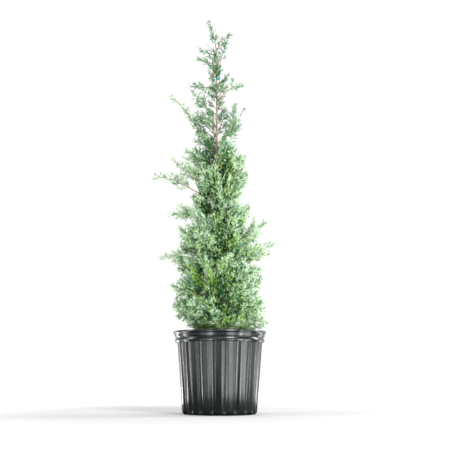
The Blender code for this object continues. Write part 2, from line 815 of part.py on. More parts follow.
def drill_drain_holes(pot):
    """Round holes through the corner between wall and floor."""
    group = bpy.data.collections.new("drain_cutters")
    bpy.context.scene.collection.children.link(group)
    for k in range(DRAIN_HOLES):
        outwards = slope(360 * k / DRAIN_HOLES + DRAIN_TURN, 0)
        corner = (BASE_RADIUS - DRAIN_INSET) * outwards + FLOOR * UP
        reach = DRAIN_REACH * (outwards + DRAIN_DIP * UP).normalized()
        cutter = tube("drain", [corner - reach, corner + reach], [DRAIN_RADIUS] * 2, 10)
        group.objects.link(bpy.data.objects.new("drain", cutter))
    cut = pot.modifiers.new("Drain", "BOOLEAN")
    cut.operation = "DIFFERENCE"
    cut.operand_type = "COLLECTION"
    cut.collection = group
    bpy.context.view_layer.update()
    graph = bpy.context.evaluated_depsgraph_get()
    surface = pot.data.materials[0]
    pot.data = bpy.data.meshes.new_from_object(pot.evaluated_get(graph))
    pot.modifiers.clear()
    pot.data.materials.clear()
    pot.data.materials.append(surface)
    for obj in list(group.objects):
        bpy.data.objects.remove(obj, do_unlink=True)
    bpy.data.collections.remove(group)


def make_potting_mix(surface):
    """The filling, 0.3 mm inside the pot, with a flat seat for the trunk in its middle."""
    under_rim = POT_HEIGHT - RIM_DEPTH
    out, low, high = RIM_STEP
    inner = inner_radius(under_rim) - 1.8 * GAP
    profile = (
        (inner_radius(FLOOR) - 1.3 * GAP, FLOOR + GAP),
        (inner, under_rim + low + GAP),
        (inner + out, under_rim + high + GAP),
        (inner + out, SOIL_LEVEL - 0.5 * SOIL_CROWN),
        (SOIL_CROWN_RADIUS, SOIL_LEVEL + SOIL_CROWN),
        (SOIL_SEAT_RADIUS, SOIL_LEVEL),
    )
    points, faces = skin([ring(radius, height, ROUND_SIDES) for radius, height in profile])
    place("potting_mix", mesh_of("potting_mix", points, faces), surface, 30)


def make_trunk(surface):
    """The whole trunk, from its flat foot with a lobed root flare to the leading shoot."""
    rings = []
    for height in [known for known in TRUNK_HEIGHTS if known <= LEADER_FOOT]:
        centre = trunk_curve(height)

        def out(turn, height=height):
            lobe = 0.72 + 0.28 * math.cos(ROOT_LOBES * (turn + math.pi / 2))
            return trunk_radius(height) + flare(height) * lobe

        rings.append([Vector((centre.x, centre.y, 0)) + p for p in ring(out, height, TRUNK_SIDES)])
    points, faces = skin(rings)
    place("trunk", mesh_of("trunk", points, faces), surface, 40)


# Tie tape

def tie_outline(first, second, first_radius, second_radius):
    """The taut loop round two round stems, seen from above."""
    run = second - first
    heading = math.atan2(run.y, run.x)
    lean = math.acos((first_radius - second_radius) / run.length)
    points = []
    for centre, radius, begin, end in (
        (second, second_radius, -lean, lean),
        (first, first_radius, lean, 2 * math.pi - lean),
    ):
        for k in range(TIE_SIDES):
            turn = heading + begin + (end - begin) * k / (TIE_SIDES - 1)
            points.append((centre.x + radius * math.cos(turn), centre.y + radius * math.sin(turn)))
    return points


def make_tie(second_leader, surface):
    """The band of tape that holds the second leader to the trunk."""
    first = trunk_point(TIE_HEIGHT)
    near = min(second_leader.path, key=lambda point: abs(point.z - TIE_HEIGHT - TIE_DROP))
    first_radius = trunk_radius(TIE_HEIGHT) + GAP + TIE_SLACK
    second_radius = SECOND_LEADER_RADIUS + GAP + TIE_SLACK
    inner = tie_outline(first, near, first_radius, second_radius)
    outer = tie_outline(first, near, first_radius + TIE_THICKNESS, second_radius + TIE_THICKNESS)
    points, count = [], len(inner)
    for outline in (inner, outer):
        for half in (-0.5, 0.5):
            for x, y in outline:
                lift = TIE_SLOPE * (x - first.x)
                points.append(Vector((x, y, TIE_HEIGHT - TIE_DROP + lift + half * TIE_WIDTH)))
    faces = []
    for k in range(count):
        after = (k + 1) % count
        low_in, high_in, low_out, high_out = (k + count * i for i in range(4))
        low_in2, high_in2, low_out2, high_out2 = (after + count * i for i in range(4))
        faces += [
            [low_in, low_in2, high_in2, high_in],
            [low_out, high_out, high_out2, low_out2],
            [high_in, high_in2, high_out2, high_out],
            [low_in, low_out, low_out2, low_in2],
        ]
    place("tie_tape", mesh_of("tie_tape", points, faces), surface, 30)


def main():
    clear_scene()
    plastic = material("black moulded plastic", (0.030, 0.034, 0.036), 0.38)
    mix = material("bark potting mix", (0.045, 0.022, 0.016), 0.95)
    bark = material("young cypress bark", (0.235, 0.145, 0.100), 0.80)
    green = material("blue-green scale foliage", (0.190, 0.360, 0.235), 0.65)
    teal = material("teal tie tape", (0.010, 0.240, 0.230), 0.45)
    make_pot(plastic)
    make_potting_mix(mix)
    make_trunk(bark)
    branches = all_branches()
    space = Space(branches)
    for index, branch in enumerate(branches):
        if branch.bare:
            place("bough_" + branch.name, branch.bough_mesh(), bark, 50)
        if branch.name == "arm":
            continue
        grow_mass(index, branch, space, green)
        if branch.name == "second_leader":
            make_tie(branch, teal)


main()
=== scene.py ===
"""The looks of a young blue-green cypress in a fluted nursery pot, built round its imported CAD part.

Metres, +Z up, the origin in the middle of the pot's flat underside, the viewer at -Y. The limbs are
found again by the source's own rule and carried on to side shoots and to the short cords of scale
leaves. Each kind of growth is joined into a few large meshes, one set for each tint.
"""

import bisect
import json
import logging
import math
from collections.abc import Iterable, Sequence
from dataclasses import dataclass, field
from enum import Enum

import bpy
import numpy as np
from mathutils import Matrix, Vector, noise

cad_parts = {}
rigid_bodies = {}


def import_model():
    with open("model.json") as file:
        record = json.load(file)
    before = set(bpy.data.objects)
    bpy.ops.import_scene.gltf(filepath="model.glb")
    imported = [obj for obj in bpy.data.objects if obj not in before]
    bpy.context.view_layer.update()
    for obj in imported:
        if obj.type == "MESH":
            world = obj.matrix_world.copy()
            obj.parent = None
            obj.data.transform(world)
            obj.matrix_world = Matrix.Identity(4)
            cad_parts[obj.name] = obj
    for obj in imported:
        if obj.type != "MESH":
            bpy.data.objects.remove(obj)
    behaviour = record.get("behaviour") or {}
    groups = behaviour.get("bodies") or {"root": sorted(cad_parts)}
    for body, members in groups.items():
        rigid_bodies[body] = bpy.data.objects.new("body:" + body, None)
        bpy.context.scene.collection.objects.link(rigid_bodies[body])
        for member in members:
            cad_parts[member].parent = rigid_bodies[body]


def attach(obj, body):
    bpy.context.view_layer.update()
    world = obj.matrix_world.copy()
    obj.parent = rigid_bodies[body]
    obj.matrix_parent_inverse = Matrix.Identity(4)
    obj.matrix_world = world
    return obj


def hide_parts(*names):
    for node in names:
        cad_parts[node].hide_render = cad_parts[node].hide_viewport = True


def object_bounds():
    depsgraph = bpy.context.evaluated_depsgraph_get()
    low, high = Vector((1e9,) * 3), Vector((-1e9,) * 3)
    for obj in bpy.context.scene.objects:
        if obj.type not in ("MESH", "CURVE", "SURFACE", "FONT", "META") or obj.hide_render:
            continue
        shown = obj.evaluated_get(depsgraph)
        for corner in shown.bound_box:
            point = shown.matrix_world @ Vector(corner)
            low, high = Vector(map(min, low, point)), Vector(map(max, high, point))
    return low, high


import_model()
CAD_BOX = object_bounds()
BOX_LOW, BOX_HIGH = (np.array(corner) for corner in CAD_BOX)

Array = np.ndarray
Dice = np.random.Generator
Tree = bpy.types.NodeTree
Socket = bpy.types.NodeSocket
Pair = tuple[float, float]
Stops = tuple[tuple[float, str], ...]

LOG = logging.getLogger("potted_cypress")
UP = np.array((0.0, 0.0, 1.0))
GOLDEN_ANGLE = math.radians(137.5)
MOST_TRIANGLES = 190_000
MM = 0.001
# Where the viewer's eye is.
EYE = np.array((0.0156, -2.4, 0.106))


# Small tools

def linear(hex_colour: str) -> tuple[float, float, float, float]:
    """Turn an sRGB hex value into a linear colour.

    Args:
        hex_colour: Six hex digits with a leading hash.

    Returns:
        Red, green, blue and an alpha of one.
    """
    parts = [int(hex_colour[i : i + 2], 16) / 255 for i in (1, 3, 5)]
    red, green, blue = (p / 12.92 if p <= 0.04045 else ((p + 0.055) / 1.055) ** 2.4 for p in parts)
    return red, green, blue, 1.0


def add_node(
    tree: Tree, kind: str, settings: dict | None = None, links: dict | None = None
) -> bpy.types.Node:
    """Add a node with its settings and links.

    Args:
        tree: The node tree that it goes into.
        kind: Blender's name for the node's type.
        settings: Properties by name, input values by socket name or number, and under "stops" a
            colour ramp's positions with their sRGB hex colours.
        links: Output sockets by the name or number of the input that each feeds.

    Returns:
        The new node.
    """
    node = tree.nodes.new(kind)
    for key, value in (settings or {}).items():
        if key == "stops":
            elements = node.color_ramp.elements
            while len(elements) < len(value):
                elements.new(1.0)
            for element, (position, colour) in zip(elements, value):
                element.position, element.color = position, linear(colour)
        elif isinstance(key, str) and hasattr(node, key):
            setattr(node, key, value)
        else:
            node.inputs[key].default_value = value
    for key, socket in (links or {}).items():
        tree.links.new(socket, node.inputs[key])
    return node


def unit(vectors: Array) -> Array:
    """Vectors scaled to a length of one."""
    return vectors / np.maximum(np.linalg.norm(vectors, axis=-1, keepdims=True), 1e-12)


def square_to(along: Array, turn: Array) -> Array:
    """Unit vectors at right angles to others.

    Args:
        along: Unit vectors, one a row.
        turn: How far each result is turned about its vector, in radians.

    Returns:
        One unit vector a row.
    """
    helper = np.where(np.abs(along[:, 2:3]) < 0.9, UP, np.array((1.0, 0.0, 0.0)))
    first = unit(np.cross(along, helper))
    second = np.cross(along, first)
    return np.cos(turn)[:, None] * first + np.sin(turn)[:, None] * second


def smoothstep(low: float, high: float, value: Array | float) -> Array:
    """A soft step from 0 at low to 1 at high."""
    share = np.clip((value - low) / (high - low), 0.0, 1.0)
    return share * share * (3 - 2 * share)


def circle(turns: Array) -> Array:
    """Points of a level circle of radius one, at turns in radians."""
    return np.stack((np.cos(turns), np.sin(turns), 0 * turns), axis=1)


def round_corners(profile: Array, passes: int) -> Array:
    """Cut the corners of an open profile again and again, and keep its two ends.

    Args:
        profile: Points, one a row.
        passes: How many times each corner is cut.

    Returns:
        The rounded profile.
    """
    for _ in range(passes):
        low, high = profile[:-1], profile[1:]
        cut = np.stack((0.75 * low + 0.25 * high, 0.25 * low + 0.75 * high), axis=1).reshape(-1, 2)
        profile = np.vstack((profile[:1], cut[1:-1], profile[-1:]))
    return profile


def loft(rings: Sequence[Array]) -> tuple[Array, Array]:
    """Join closed rings of equal length with triangles.

    Args:
        rings: Arrays of points. A ring of one point closes the surface with a fan.

    Returns:
        Points and triangles.
    """
    triangles, start = [], 0
    for low, high in zip(rings, rings[1:]):
        after = start + len(low)
        here = np.arange(max(len(low), len(high)))
        there = (here + 1) % len(here)
        if len(low) > 1:
            tip = after + (here if len(high) > 1 else 0 * here)
            triangles.append(np.stack((start + here, start + there, tip), axis=1))
        if len(high) > 1:
            foot = start + (there if len(low) > 1 else 0 * there)
            triangles.append(np.stack((foot, after + there, after + here), axis=1))
        start = after
    return np.vstack(rings), np.vstack(triangles)


@dataclass
class Pieces:
    """Points and triangles collected for one joined mesh."""

    points: list[Array] = field(default_factory=list)
    triangles: list[Array] = field(default_factory=list)
    count: int = 0

    def add(self, points: Array, triangles: Array) -> None:
        """Add one shape.

        Args:
            points: Its points, one a row.
            triangles: Three of its points' numbers a row.
        """
        self.points.append(points)
        self.triangles.append(triangles + self.count)
        self.count += len(points)

    def add_many(self, points: Array, triangles: Array) -> None:
        """Add many like shapes.

        Args:
            points: An array of shapes by points by three.
            triangles: The triangles of one shape.
        """
        shapes, size = points.shape[:2]
        offsets = size * np.arange(shapes)[:, None, None]
        self.add(points.reshape(-1, 3), (triangles[None] + offsets).reshape(-1, 3))

    def build(
        self,
        name: str,
        material: bpy.types.Material,
        slot: str,
        nodes: Iterable[str],
        crease: float | None = None,
    ) -> bpy.types.Object:
        """Make the mesh, dress it, and let it stand for its CAD nodes.

        Args:
            name: The piece's name.
            material: Its finish.
            slot: The record's material slot. Not used.
            nodes: The CAD nodes that it replaces.
            crease: The angle in degrees over which an edge stays sharp. None is smooth all over.

        Returns:
            The new object.
        """
        points, triangles = np.vstack(self.points), np.vstack(self.triangles)
        mesh = bpy.data.meshes.new(name)
        mesh.vertices.add(len(points))
        mesh.vertices.foreach_set("co", points.astype(np.float32).ravel())
        mesh.loops.add(triangles.size)
        mesh.loops.foreach_set("vertex_index", triangles.astype(np.int32).ravel())
        mesh.polygons.add(len(triangles))
        mesh.polygons.foreach_set("loop_start", np.arange(0, triangles.size, 3, dtype=np.int32))
        mesh.update(calc_edges=True)
        mesh.validate()
        mesh.shade_smooth()
        if crease is not None:
            mesh.set_sharp_from_angle(angle=math.radians(crease))
        mesh.materials.append(material)
        piece = bpy.data.objects.new(name, mesh)
        bpy.context.scene.collection.objects.link(piece)
        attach(piece, "root")
        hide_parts(*nodes)
        LOG.info("%s: %d triangles, stands for %d nodes", name, len(triangles), len(list(nodes)))
        return piece


# Finishes

@dataclass(frozen=True)
class Finish:
    """A surface whose pattern, at its real size, deals out its colours and gives its relief.

    The relief is given by its strength and its depth in millimetres.
    """

    name: str
    stops: Stops
    grain_mm: float
    relief: Pair
    roughness: float
    detail: float = 2.0

    def patterns(self, tree: Tree, place: Socket) -> tuple[Socket, Socket]:
        """Find the patterns of the colours and of the relief: here one noise for both.

        Args:
            tree: The material's node tree.
            place: The place on the object, in metres.

        Returns:
            Two sockets with values from 0 to 1.
        """
        size = {"Scale": 1 / (self.grain_mm * MM), "Detail": self.detail}
        grain = add_node(tree, "ShaderNodeTexNoise", size, {"Vector": place}).outputs["Fac"]
        return grain, grain

    def material(self) -> bpy.types.Material:
        """Make the material.

        Returns:
            The new material.
        """
        made = bpy.data.materials.new(self.name)
        made.use_nodes = True
        tree = made.node_tree
        shader = tree.nodes["Principled BSDF"]
        shader.inputs["Roughness"].default_value = self.roughness
        place = add_node(tree, "ShaderNodeTexCoord").outputs["Object"]
        colours, heights = self.patterns(tree, place)
        ramp = add_node(tree, "ShaderNodeValToRGB", {"stops": self.stops}, {"Fac": colours})
        depth = {"Strength": self.relief[0], "Distance": self.relief[1] * MM}
        bump = add_node(tree, "ShaderNodeBump", depth, {"Height": heights})
        tree.links.new(ramp.outputs["Color"], shader.inputs["Base Color"])
        tree.links.new(bump.outputs["Normal"], shader.inputs["Normal"])
        return made


@dataclass(frozen=True)
class MouldedPolyethylene(Finish):
    """Black recycled polyethylene, injection moulded.

    To the eye: a satin near-black with a grey-green cast, faint flow marks that run up the wall, a
    broken sheen where the mould was worn, and a film of dry dust in streaks.
    """

    name: str = "black_recycled_polyethylene"
    grain_mm: float = 2.2
    stops: Stops = ((0.0, "#081010"), (1.0, "#172220"))
    relief: Pair = (0.35, 0.05)
    roughness: float = 0.24
    dust_streak_mm: float = 9.0
    dust_cloud_mm: float = 35.7143
    drawn_out: float = 0.04
    dusty_from: Pair = (0.20, 0.42)
    sheen: Pair = (0.18, 0.30)
    ior: float = 1.49

    def patterns(self, tree: Tree, place: Socket) -> tuple[Socket, Socket]:
        """Find the dust, which dulls the sheen too, and the flow marks, drawn out along the wall.

        Args:
            tree: The material's node tree.
            place: The place on the object, in metres.

        Returns:
            The dust for the colours and the flow marks for the relief.
        """
        drawn = add_node(tree, "ShaderNodeMapping", {"Scale": (1, 1, self.drawn_out)}, {0: place}).outputs[0]
        marks, streaks, cloud = (
            add_node(
                tree,
                "ShaderNodeTexNoise",
                {"Scale": 1 / (size * MM), "Detail": detail, "Roughness": rough},
                {"Vector": where},
            ).outputs["Fac"]
            for size, detail, rough, where in (
                (self.grain_mm, 3.0, 0.55, drawn),
                (self.dust_streak_mm, 5.0, 0.62, drawn),
                (self.dust_cloud_mm, 6.0, 0.60, place),
            )
        )
        both = add_node(tree, "ShaderNodeMath", {"operation": "MULTIPLY"}, {0: streaks, 1: cloud}).outputs[0]
        low, high = self.dusty_from
        span = {"From Min": low, "From Max": high}
        dust = add_node(tree, "ShaderNodeMapRange", span, {"Value": both}).outputs["Result"]
        low, high = self.sheen
        sheen = add_node(tree, "ShaderNodeMapRange", {"To Min": low, "To Max": high}, {"Value": dust})
        shader = tree.nodes["Principled BSDF"]
        tree.links.new(sheen.outputs["Result"], shader.inputs["Roughness"])
        shader.inputs["IOR"].default_value = self.ior
        return dust, marks


@dataclass(frozen=True)
class CompostedBark(Finish):
    """Peat and composted bark, sieved.

    To the eye: damp dark red-brown crumbs with no gloss, mottled from crumb to crumb.
    """

    name: str = "composted_bark_mix"
    grain_mm: float = 3.0
    stops: Stops = ((0.0, "#1e100d"), (0.6, "#33201a"), (1.0, "#4d2c24"))
    relief: Pair = (0.8, 1.2)
    roughness: float = 0.93

    def patterns(self, tree: Tree, place: Socket) -> tuple[Socket, Socket]:
        """Find the crumbs: cells, each of its own shade, highest at their edges.

        Args:
            tree: The material's node tree.
            place: The place on the object, in metres.

        Returns:
            The cells' shades and the distances from their middles.
        """
        size = {"Scale": 1 / (self.grain_mm * MM)}
        cells = add_node(tree, "ShaderNodeTexVoronoi", size, {"Vector": place}).outputs
        shade = add_node(tree, "ShaderNodeSeparateColor", None, {0: cells["Color"]}).outputs[0]
        return shade, cells["Distance"]


@dataclass(frozen=True)
class BarkChip(Finish):
    """Shredded pine bark, composted.

    To the eye: splintered chips of red-brown, matt, with grain along them.
    """

    name: str = "shredded_pine_bark"
    grain_mm: float = 0.9
    stops: Stops = ((0.14, "#2a1511"), (0.38, "#6b4033"))
    relief: Pair = (0.6, 0.4)
    roughness: float = 0.88
    patch_mm: float = 9.0909

    def patterns(self, tree: Tree, place: Socket) -> tuple[Socket, Socket]:
        """Find the grain, and for the colours lay it over a shade that changes from chip to chip.

        Args:
            tree: The material's node tree.
            place: The place on the object, in metres.

        Returns:
            The shaded grain and the grain alone.
        """
        grain = super().patterns(tree, place)[0]
        size = {"Scale": 1 / (self.patch_mm * MM), "Detail": 1.0}
        patch = add_node(tree, "ShaderNodeTexNoise", size, {"Vector": place}).outputs["Fac"]
        both = add_node(tree, "ShaderNodeMath", {"operation": "MULTIPLY"}, {0: grain, 1: patch})
        return both.outputs[0], grain


@dataclass(frozen=True)
class YoungBark(Finish):
    """Bark of a cypress stem a few years old, grown.

    To the eye: thin papery strips that run up the stem, grey-tan where they have weathered and
    red-brown where they have peeled, with no gloss.
    """

    name: str = "young_cypress_bark"
    grain_mm: float = 1.1
    stops: Stops = ((0.34, "#382a22"), (0.46, "#7a6153"), (0.62, "#bda594"))
    relief: Pair = (0.7, 0.5)
    roughness: float = 0.82
    strip_mm: float = 3.2
    drawn_out: float = 0.12
    fibre_share: float = 0.45

    def patterns(self, tree: Tree, place: Socket) -> tuple[Socket, Socket]:
        """Find the fibres and strips: noises drawn out along the stem.

        Args:
            tree: The material's node tree.
            place: The place on the object, in metres.

        Returns:
            Both together, for the colours and for the relief.
        """
        drawn = add_node(tree, "ShaderNodeMapping", {"Scale": (1, 1, self.drawn_out)}, {0: place}).outputs[0]
        fine = {"Scale": 1 / (self.grain_mm * MM), "Detail": 4.0, "Roughness": 0.6}
        broad = {"Scale": 1 / (self.strip_mm * MM), "Detail": 3.0, "Distortion": 0.4}
        fibres, strips = (
            add_node(tree, "ShaderNodeTexNoise", size, {"Vector": drawn}).outputs["Fac"]
            for size in (fine, broad)
        )
        mixed = {"data_type": "FLOAT", "Factor": self.fibre_share}
        both = add_node(tree, "ShaderNodeMix", mixed, {2: strips, 3: fibres}).outputs[0]
        return both, both


class Tint(Enum):
    """The tints of the scale leaves: a name, a darker and a lighter sRGB colour."""

    BLOOM = ("pale_bloom", "#9dbb96", "#d9e9d1")
    SAGE = ("blue_green", "#4c7651", "#83aa80")
    BRIGHT = ("light_green", "#8cbc75", "#c8e5b4")
    DEEP = ("deep_green", "#153a0c", "#316620")
    TEAL = ("emerald_green", "#1f5a35", "#4b9060")
    FRESH = ("yellow_green", "#5d8e1e", "#9dc445")
    STRAW = ("straw_stem", "#b0ae76", "#e6e3bb")
    SPENT = ("brown_spent", "#5c3c1e", "#95743a")


TINTS = tuple(Tint)
# What a cord near its shoot's tip may turn to.
PALER = (
    (Tint.SAGE, Tint.BLOOM),
    (Tint.DEEP, Tint.BRIGHT),
    (Tint.TEAL, Tint.BLOOM),
    (Tint.FRESH, Tint.BRIGHT),
)


@dataclass(frozen=True)
class ScaleLeaves(Finish):
    """Living cords of scale leaves under a bloom of wax.

    To the eye: small overlapping scales in four rows, matt from the wax, each cord of nearly one
    tint. The scales are drawn at their real 1.4 mm spacing.
    """

    grain_mm: float = 1.4
    relief: Pair = (0.45, 0.25)
    roughness: float = 0.58
    mottle_mm: float = 5.88235
    waxy_gloss: float = 0.32

    def patterns(self, tree: Tree, place: Socket) -> tuple[Socket, Socket]:
        """Find a mottle between the tint's two colours, and the scales.

        Args:
            tree: The material's node tree.
            place: The place on the object, in metres.

        Returns:
            The mottle for the colours and the scales for the relief.
        """
        shader = tree.nodes["Principled BSDF"]
        shader.inputs["Specular IOR Level"].default_value = self.waxy_gloss
        size = {"Scale": 1 / (self.mottle_mm * MM), "Detail": self.detail, "Roughness": 0.6}
        mottle = add_node(tree, "ShaderNodeTexNoise", size, {"Vector": place}).outputs["Fac"]
        size = {"Scale": 1 / (self.grain_mm * MM)}
        scales = add_node(tree, "ShaderNodeTexVoronoi", size, {"Vector": place}).outputs["Distance"]
        return mottle, scales


# Volcanic glass popped by heat. To the eye: chalky white grains, pitted, a little stained by the mix.
EXPANDED_PERLITE = Finish(
    "expanded_perlite", ((0.30, "#b6a795"), (0.62, "#e9e5dc")), 0.5, (0.7, 0.3), roughness=0.9, detail=3.0
)
# The smooth skin of this year's and last year's twigs, grown. To the eye: pinkish tan to red-brown
# with a slight satin, marked by the scars of old scales.
TWIG_BARK = Finish(
    "young_twig_bark", ((0.34, "#5c4b3b"), (0.66, "#94836b")), 2.4, (0.5, 0.3), roughness=0.62
)
# Soft vinyl plant tape, calendered and stretched. To the eye: a teal with a soft gloss, paler where
# the stretch has whitened its creases.
STRETCH_TAPE = Finish(
    "soft_vinyl_tape", ((0.40, "#0a7c84"), (0.72, "#2fa3a8")), 1.6, (0.5, 0.3), roughness=0.36
)


@dataclass(frozen=True)
class StudioPaper:
    """Seamless background paper, matt coated, that glows further out as painted light.

    To the eye: a plain pale ground with the faintest tooth, that turns to the room's white. In the
    pot's gloss it shows a darker grey: a painted reflection.
    """

    name: str = "seamless_white_paper"
    tooth_mm: float = 2.5
    stops: Stops = ((0.3, "#b8b8b8"), (0.7, "#bcbcbc"))
    # The grey that the pot's gloss mirrors instead of the paper: a painted reflection.
    mirrored: str = "#505050"
    roughness: float = 0.9
    # Where the paper's painted glow starts and where it is full, in metres from the middle.
    shine_from: Pair = (0.45, 1.6)

    def material(self) -> bpy.types.Material:
        """Make the material, with the light that comes through it.

        Returns:
            The new material.
        """
        made = bpy.data.materials.new(self.name)
        made.use_nodes = True
        tree = made.node_tree
        shader = tree.nodes["Principled BSDF"]
        place = add_node(tree, "ShaderNodeTexCoord").outputs["Object"]
        size = {"Scale": 1 / (self.tooth_mm * MM)}
        tooth = add_node(tree, "ShaderNodeTexNoise", size, {"Vector": place}).outputs["Fac"]
        white = add_node(tree, "ShaderNodeValToRGB", {"stops": self.stops}, {"Fac": tooth}).outputs[0]
        away = add_node(tree, "ShaderNodeVectorMath", {"operation": "LENGTH"}, {0: place}).outputs["Value"]
        # Painted light: further from the middle the paper glows, up to white.
        low, high = self.shine_from
        span = {"interpolation_type": "SMOOTHSTEP", "From Min": low, "From Max": high}
        shine = add_node(tree, "ShaderNodeMapRange", span, {"Value": away}).outputs["Result"]
        # Painted reflection: glossy rays see the paper as a darker grey.
        glossy = add_node(tree, "ShaderNodeLightPath").outputs["Is Glossy Ray"]
        mixed = {"data_type": "RGBA", 7: linear(self.mirrored)}
        colour = add_node(tree, "ShaderNodeMix", mixed, {"Factor": glossy, 6: white}).outputs[2]
        tree.links.new(colour, shader.inputs["Base Color"])
        tree.links.new(shine, shader.inputs["Emission Strength"])
        shader.inputs["Emission Color"].default_value = (1, 1, 1, 1)
        shader.inputs["Roughness"].default_value = self.roughness
        return made


# The pot

@dataclass
class NurseryPot:
    """A fluted, tapering pot under a rim of two beads and a rolled lip."""

    height: float = 0.241
    rim_radius: float = 0.1397
    body_top_radius: float = 0.1265
    base_radius: float = 0.1095
    rim_depth: float = 0.034
    wall: float = 0.0015
    floor: float = 0.002
    flutes: int = 20
    flute_depth: float = 0.0038
    # One flute's corners in degrees from the viewer's side: the land, and then the groove.
    land: Pair = (-6.2, 3.2)
    groove: Pair = (6.2, 8.8)
    corner_half_width: float = 0.40
    land_steps: int = 7
    base_chamfer: Pair = (0.0050, 0.006)
    # Radius and height of the ribs under the base, from its middle out.
    base_ribs: tuple[Pair, ...] = (
        (0.004, 0.0006), (0.0045, 0.0), (0.060, 0.0), (0.0605, 0.0006), (0.0635, 0.0006), (0.064, 0.0),
    )
    # The heights of the wall's rings, up to the rim's underside.
    low_rings: tuple[float, ...] = (0.0008, 0.0022, 0.0040, 0.006, 0.010, 0.016)
    high_rings: tuple[float, float, int] = (0.03, 0.19, 5)
    # The wall is a little out of round: by how much, in how many waves, and their twist up the wall.
    sway: tuple[float, int, int] = (0.00018, 3, 22)
    # The rim from its underside up and over the lip: inset from the rim's radius, and height.
    bands: tuple[Pair, ...] = (
        (0.0080, 0.0000), (0.0055, 0.0040), (0.0060, 0.0110), (0.0085, 0.0135), (0.0050, 0.0165),
        (0.0045, 0.0245), (0.0000, 0.0275), (0.0008, 0.0328), (0.0035, 0.0340), (0.0078, 0.0315),
    )
    inner_step: tuple[float, float, float] = (0.0085, 0.0015, 0.0050)
    inner_fillet: Pair = (0.0004, 0.004)
    # Two halves of a mould meet in a line down the wall, on each side of the pot.
    seams: Pair = (4.9, 184.9)
    seam_height: float = 0.00045
    seam_half_width: float = 0.22
    drain_holes: int = 6
    drain_radius: float = 0.009
    drain_inset: float = 0.006
    drain_turn: float = 24.0
    drain_dip: float = -0.8
    drain_reach: float = 0.020
    drain_sides: int = 28
    crease: float = 38.0

    def __post_init__(self) -> None:
        """Work out the angles that every ring has a point at."""
        corner, half, pitch = self.corner_half_width, self.seam_half_width, 360 / self.flutes
        flute = [place + aside for place in (*self.land, *self.groove) for aside in (-corner, 0.0, corner)]
        flute += list(np.linspace(*self.land, self.land_steps)[1:-1])
        extra = [seam + aside for seam in self.seams for aside in (-half, 0.0, half)]
        angles = np.array(sorted([place + pitch * k for place in flute for k in range(self.flutes)] + extra))
        self.angles = angles[np.diff(angles, append=angles[0] + 360) > 0.08]

    @property
    def under_rim(self) -> float:
        """The height of the rim's underside."""
        return self.height - self.rim_depth

    def outer_radius(self, height: float) -> float:
        """The radius of the tapering wall over its lands."""
        return self.base_radius + (self.body_top_radius - self.base_radius) * height / self.under_rim

    def inner_radius(self, height: float) -> float:
        """The round inside of the wall, below the rim."""
        return self.outer_radius(height) - self.flute_depth - self.wall

    def flute_share(self) -> Array:
        """Find how deep the flutes are, with soft corners.

        Returns:
            At each angle 0 on a land and 1 in a groove.
        """
        pitch = 360 / self.flutes
        corners = (*self.land, *self.groove, self.land[0] + pitch)
        depth = np.zeros(len(self.angles))
        offsets = np.linspace(-self.corner_half_width, self.corner_half_width, 9)
        for offset in offsets:
            turn = (self.angles + offset - self.land[0]) % pitch + self.land[0]
            depth += np.interp(turn, corners, (0.0, 0.0, 1.0, 1.0, 0.0)) / len(offsets)
        return depth

    def ring(self, radius: Array | float, height: float) -> Array:
        """A ring of points, one at each angle."""
        out = np.broadcast_to(radius, self.angles.shape)[:, None]
        return out * circle(np.radians(self.angles - 90)) + height * UP

    def wall_rings(self) -> list[Array]:
        """Lay out the outside, from the middle of the base up to the rim's underside.

        Returns:
            The rings in order.
        """
        inset, start = self.base_chamfer
        foot = self.base_radius - inset
        rings = [self.ring(radius, height) for radius, height in (*self.base_ribs, (foot - 0.001, 0.0))]
        share = self.flute_share()
        seam = np.zeros(len(self.angles))
        for where in self.seams:
            seam[np.abs(self.angles - where) < 0.01] = self.seam_height
        size, waves, twist = self.sway
        for height in (*self.low_rings, *np.linspace(*self.high_rings), self.under_rim):
            rise = min(1.0, height / start)
            pulled = inset * (1 - math.sin(0.5 * math.pi * rise))
            depth = self.flute_depth * share * float(smoothstep(0.0, 1.6 * start, height))
            sway = size * np.sin(np.radians(waves * self.angles) + twist * height)
            rings.append(self.ring(self.outer_radius(height) - pulled - depth + seam * rise + sway, height))
        return rings

    def turned_rings(self) -> list[Array]:
        """Lay out the rim over its lip, the inner step, the round inside and the floor.

        Returns:
            The rings in order.
        """
        bands = np.array([(self.rim_radius - inset, self.under_rim + rise) for inset, rise in self.bands])
        out, low, high = self.inner_step
        inner, inset, rise = self.inner_radius(self.under_rim), *self.inner_fillet
        foot = self.inner_radius(self.floor)
        inside = (
            (inner + out, self.under_rim + high),
            (inner, self.under_rim + low),
            (self.inner_radius(0.1), 0.1),
            (foot + inset, self.floor + rise),
            (foot - rise, self.floor),
            (0.030, self.floor),
        )
        return [self.ring(radius, height) for radius, height in (*round_corners(bands, 2), *inside)]

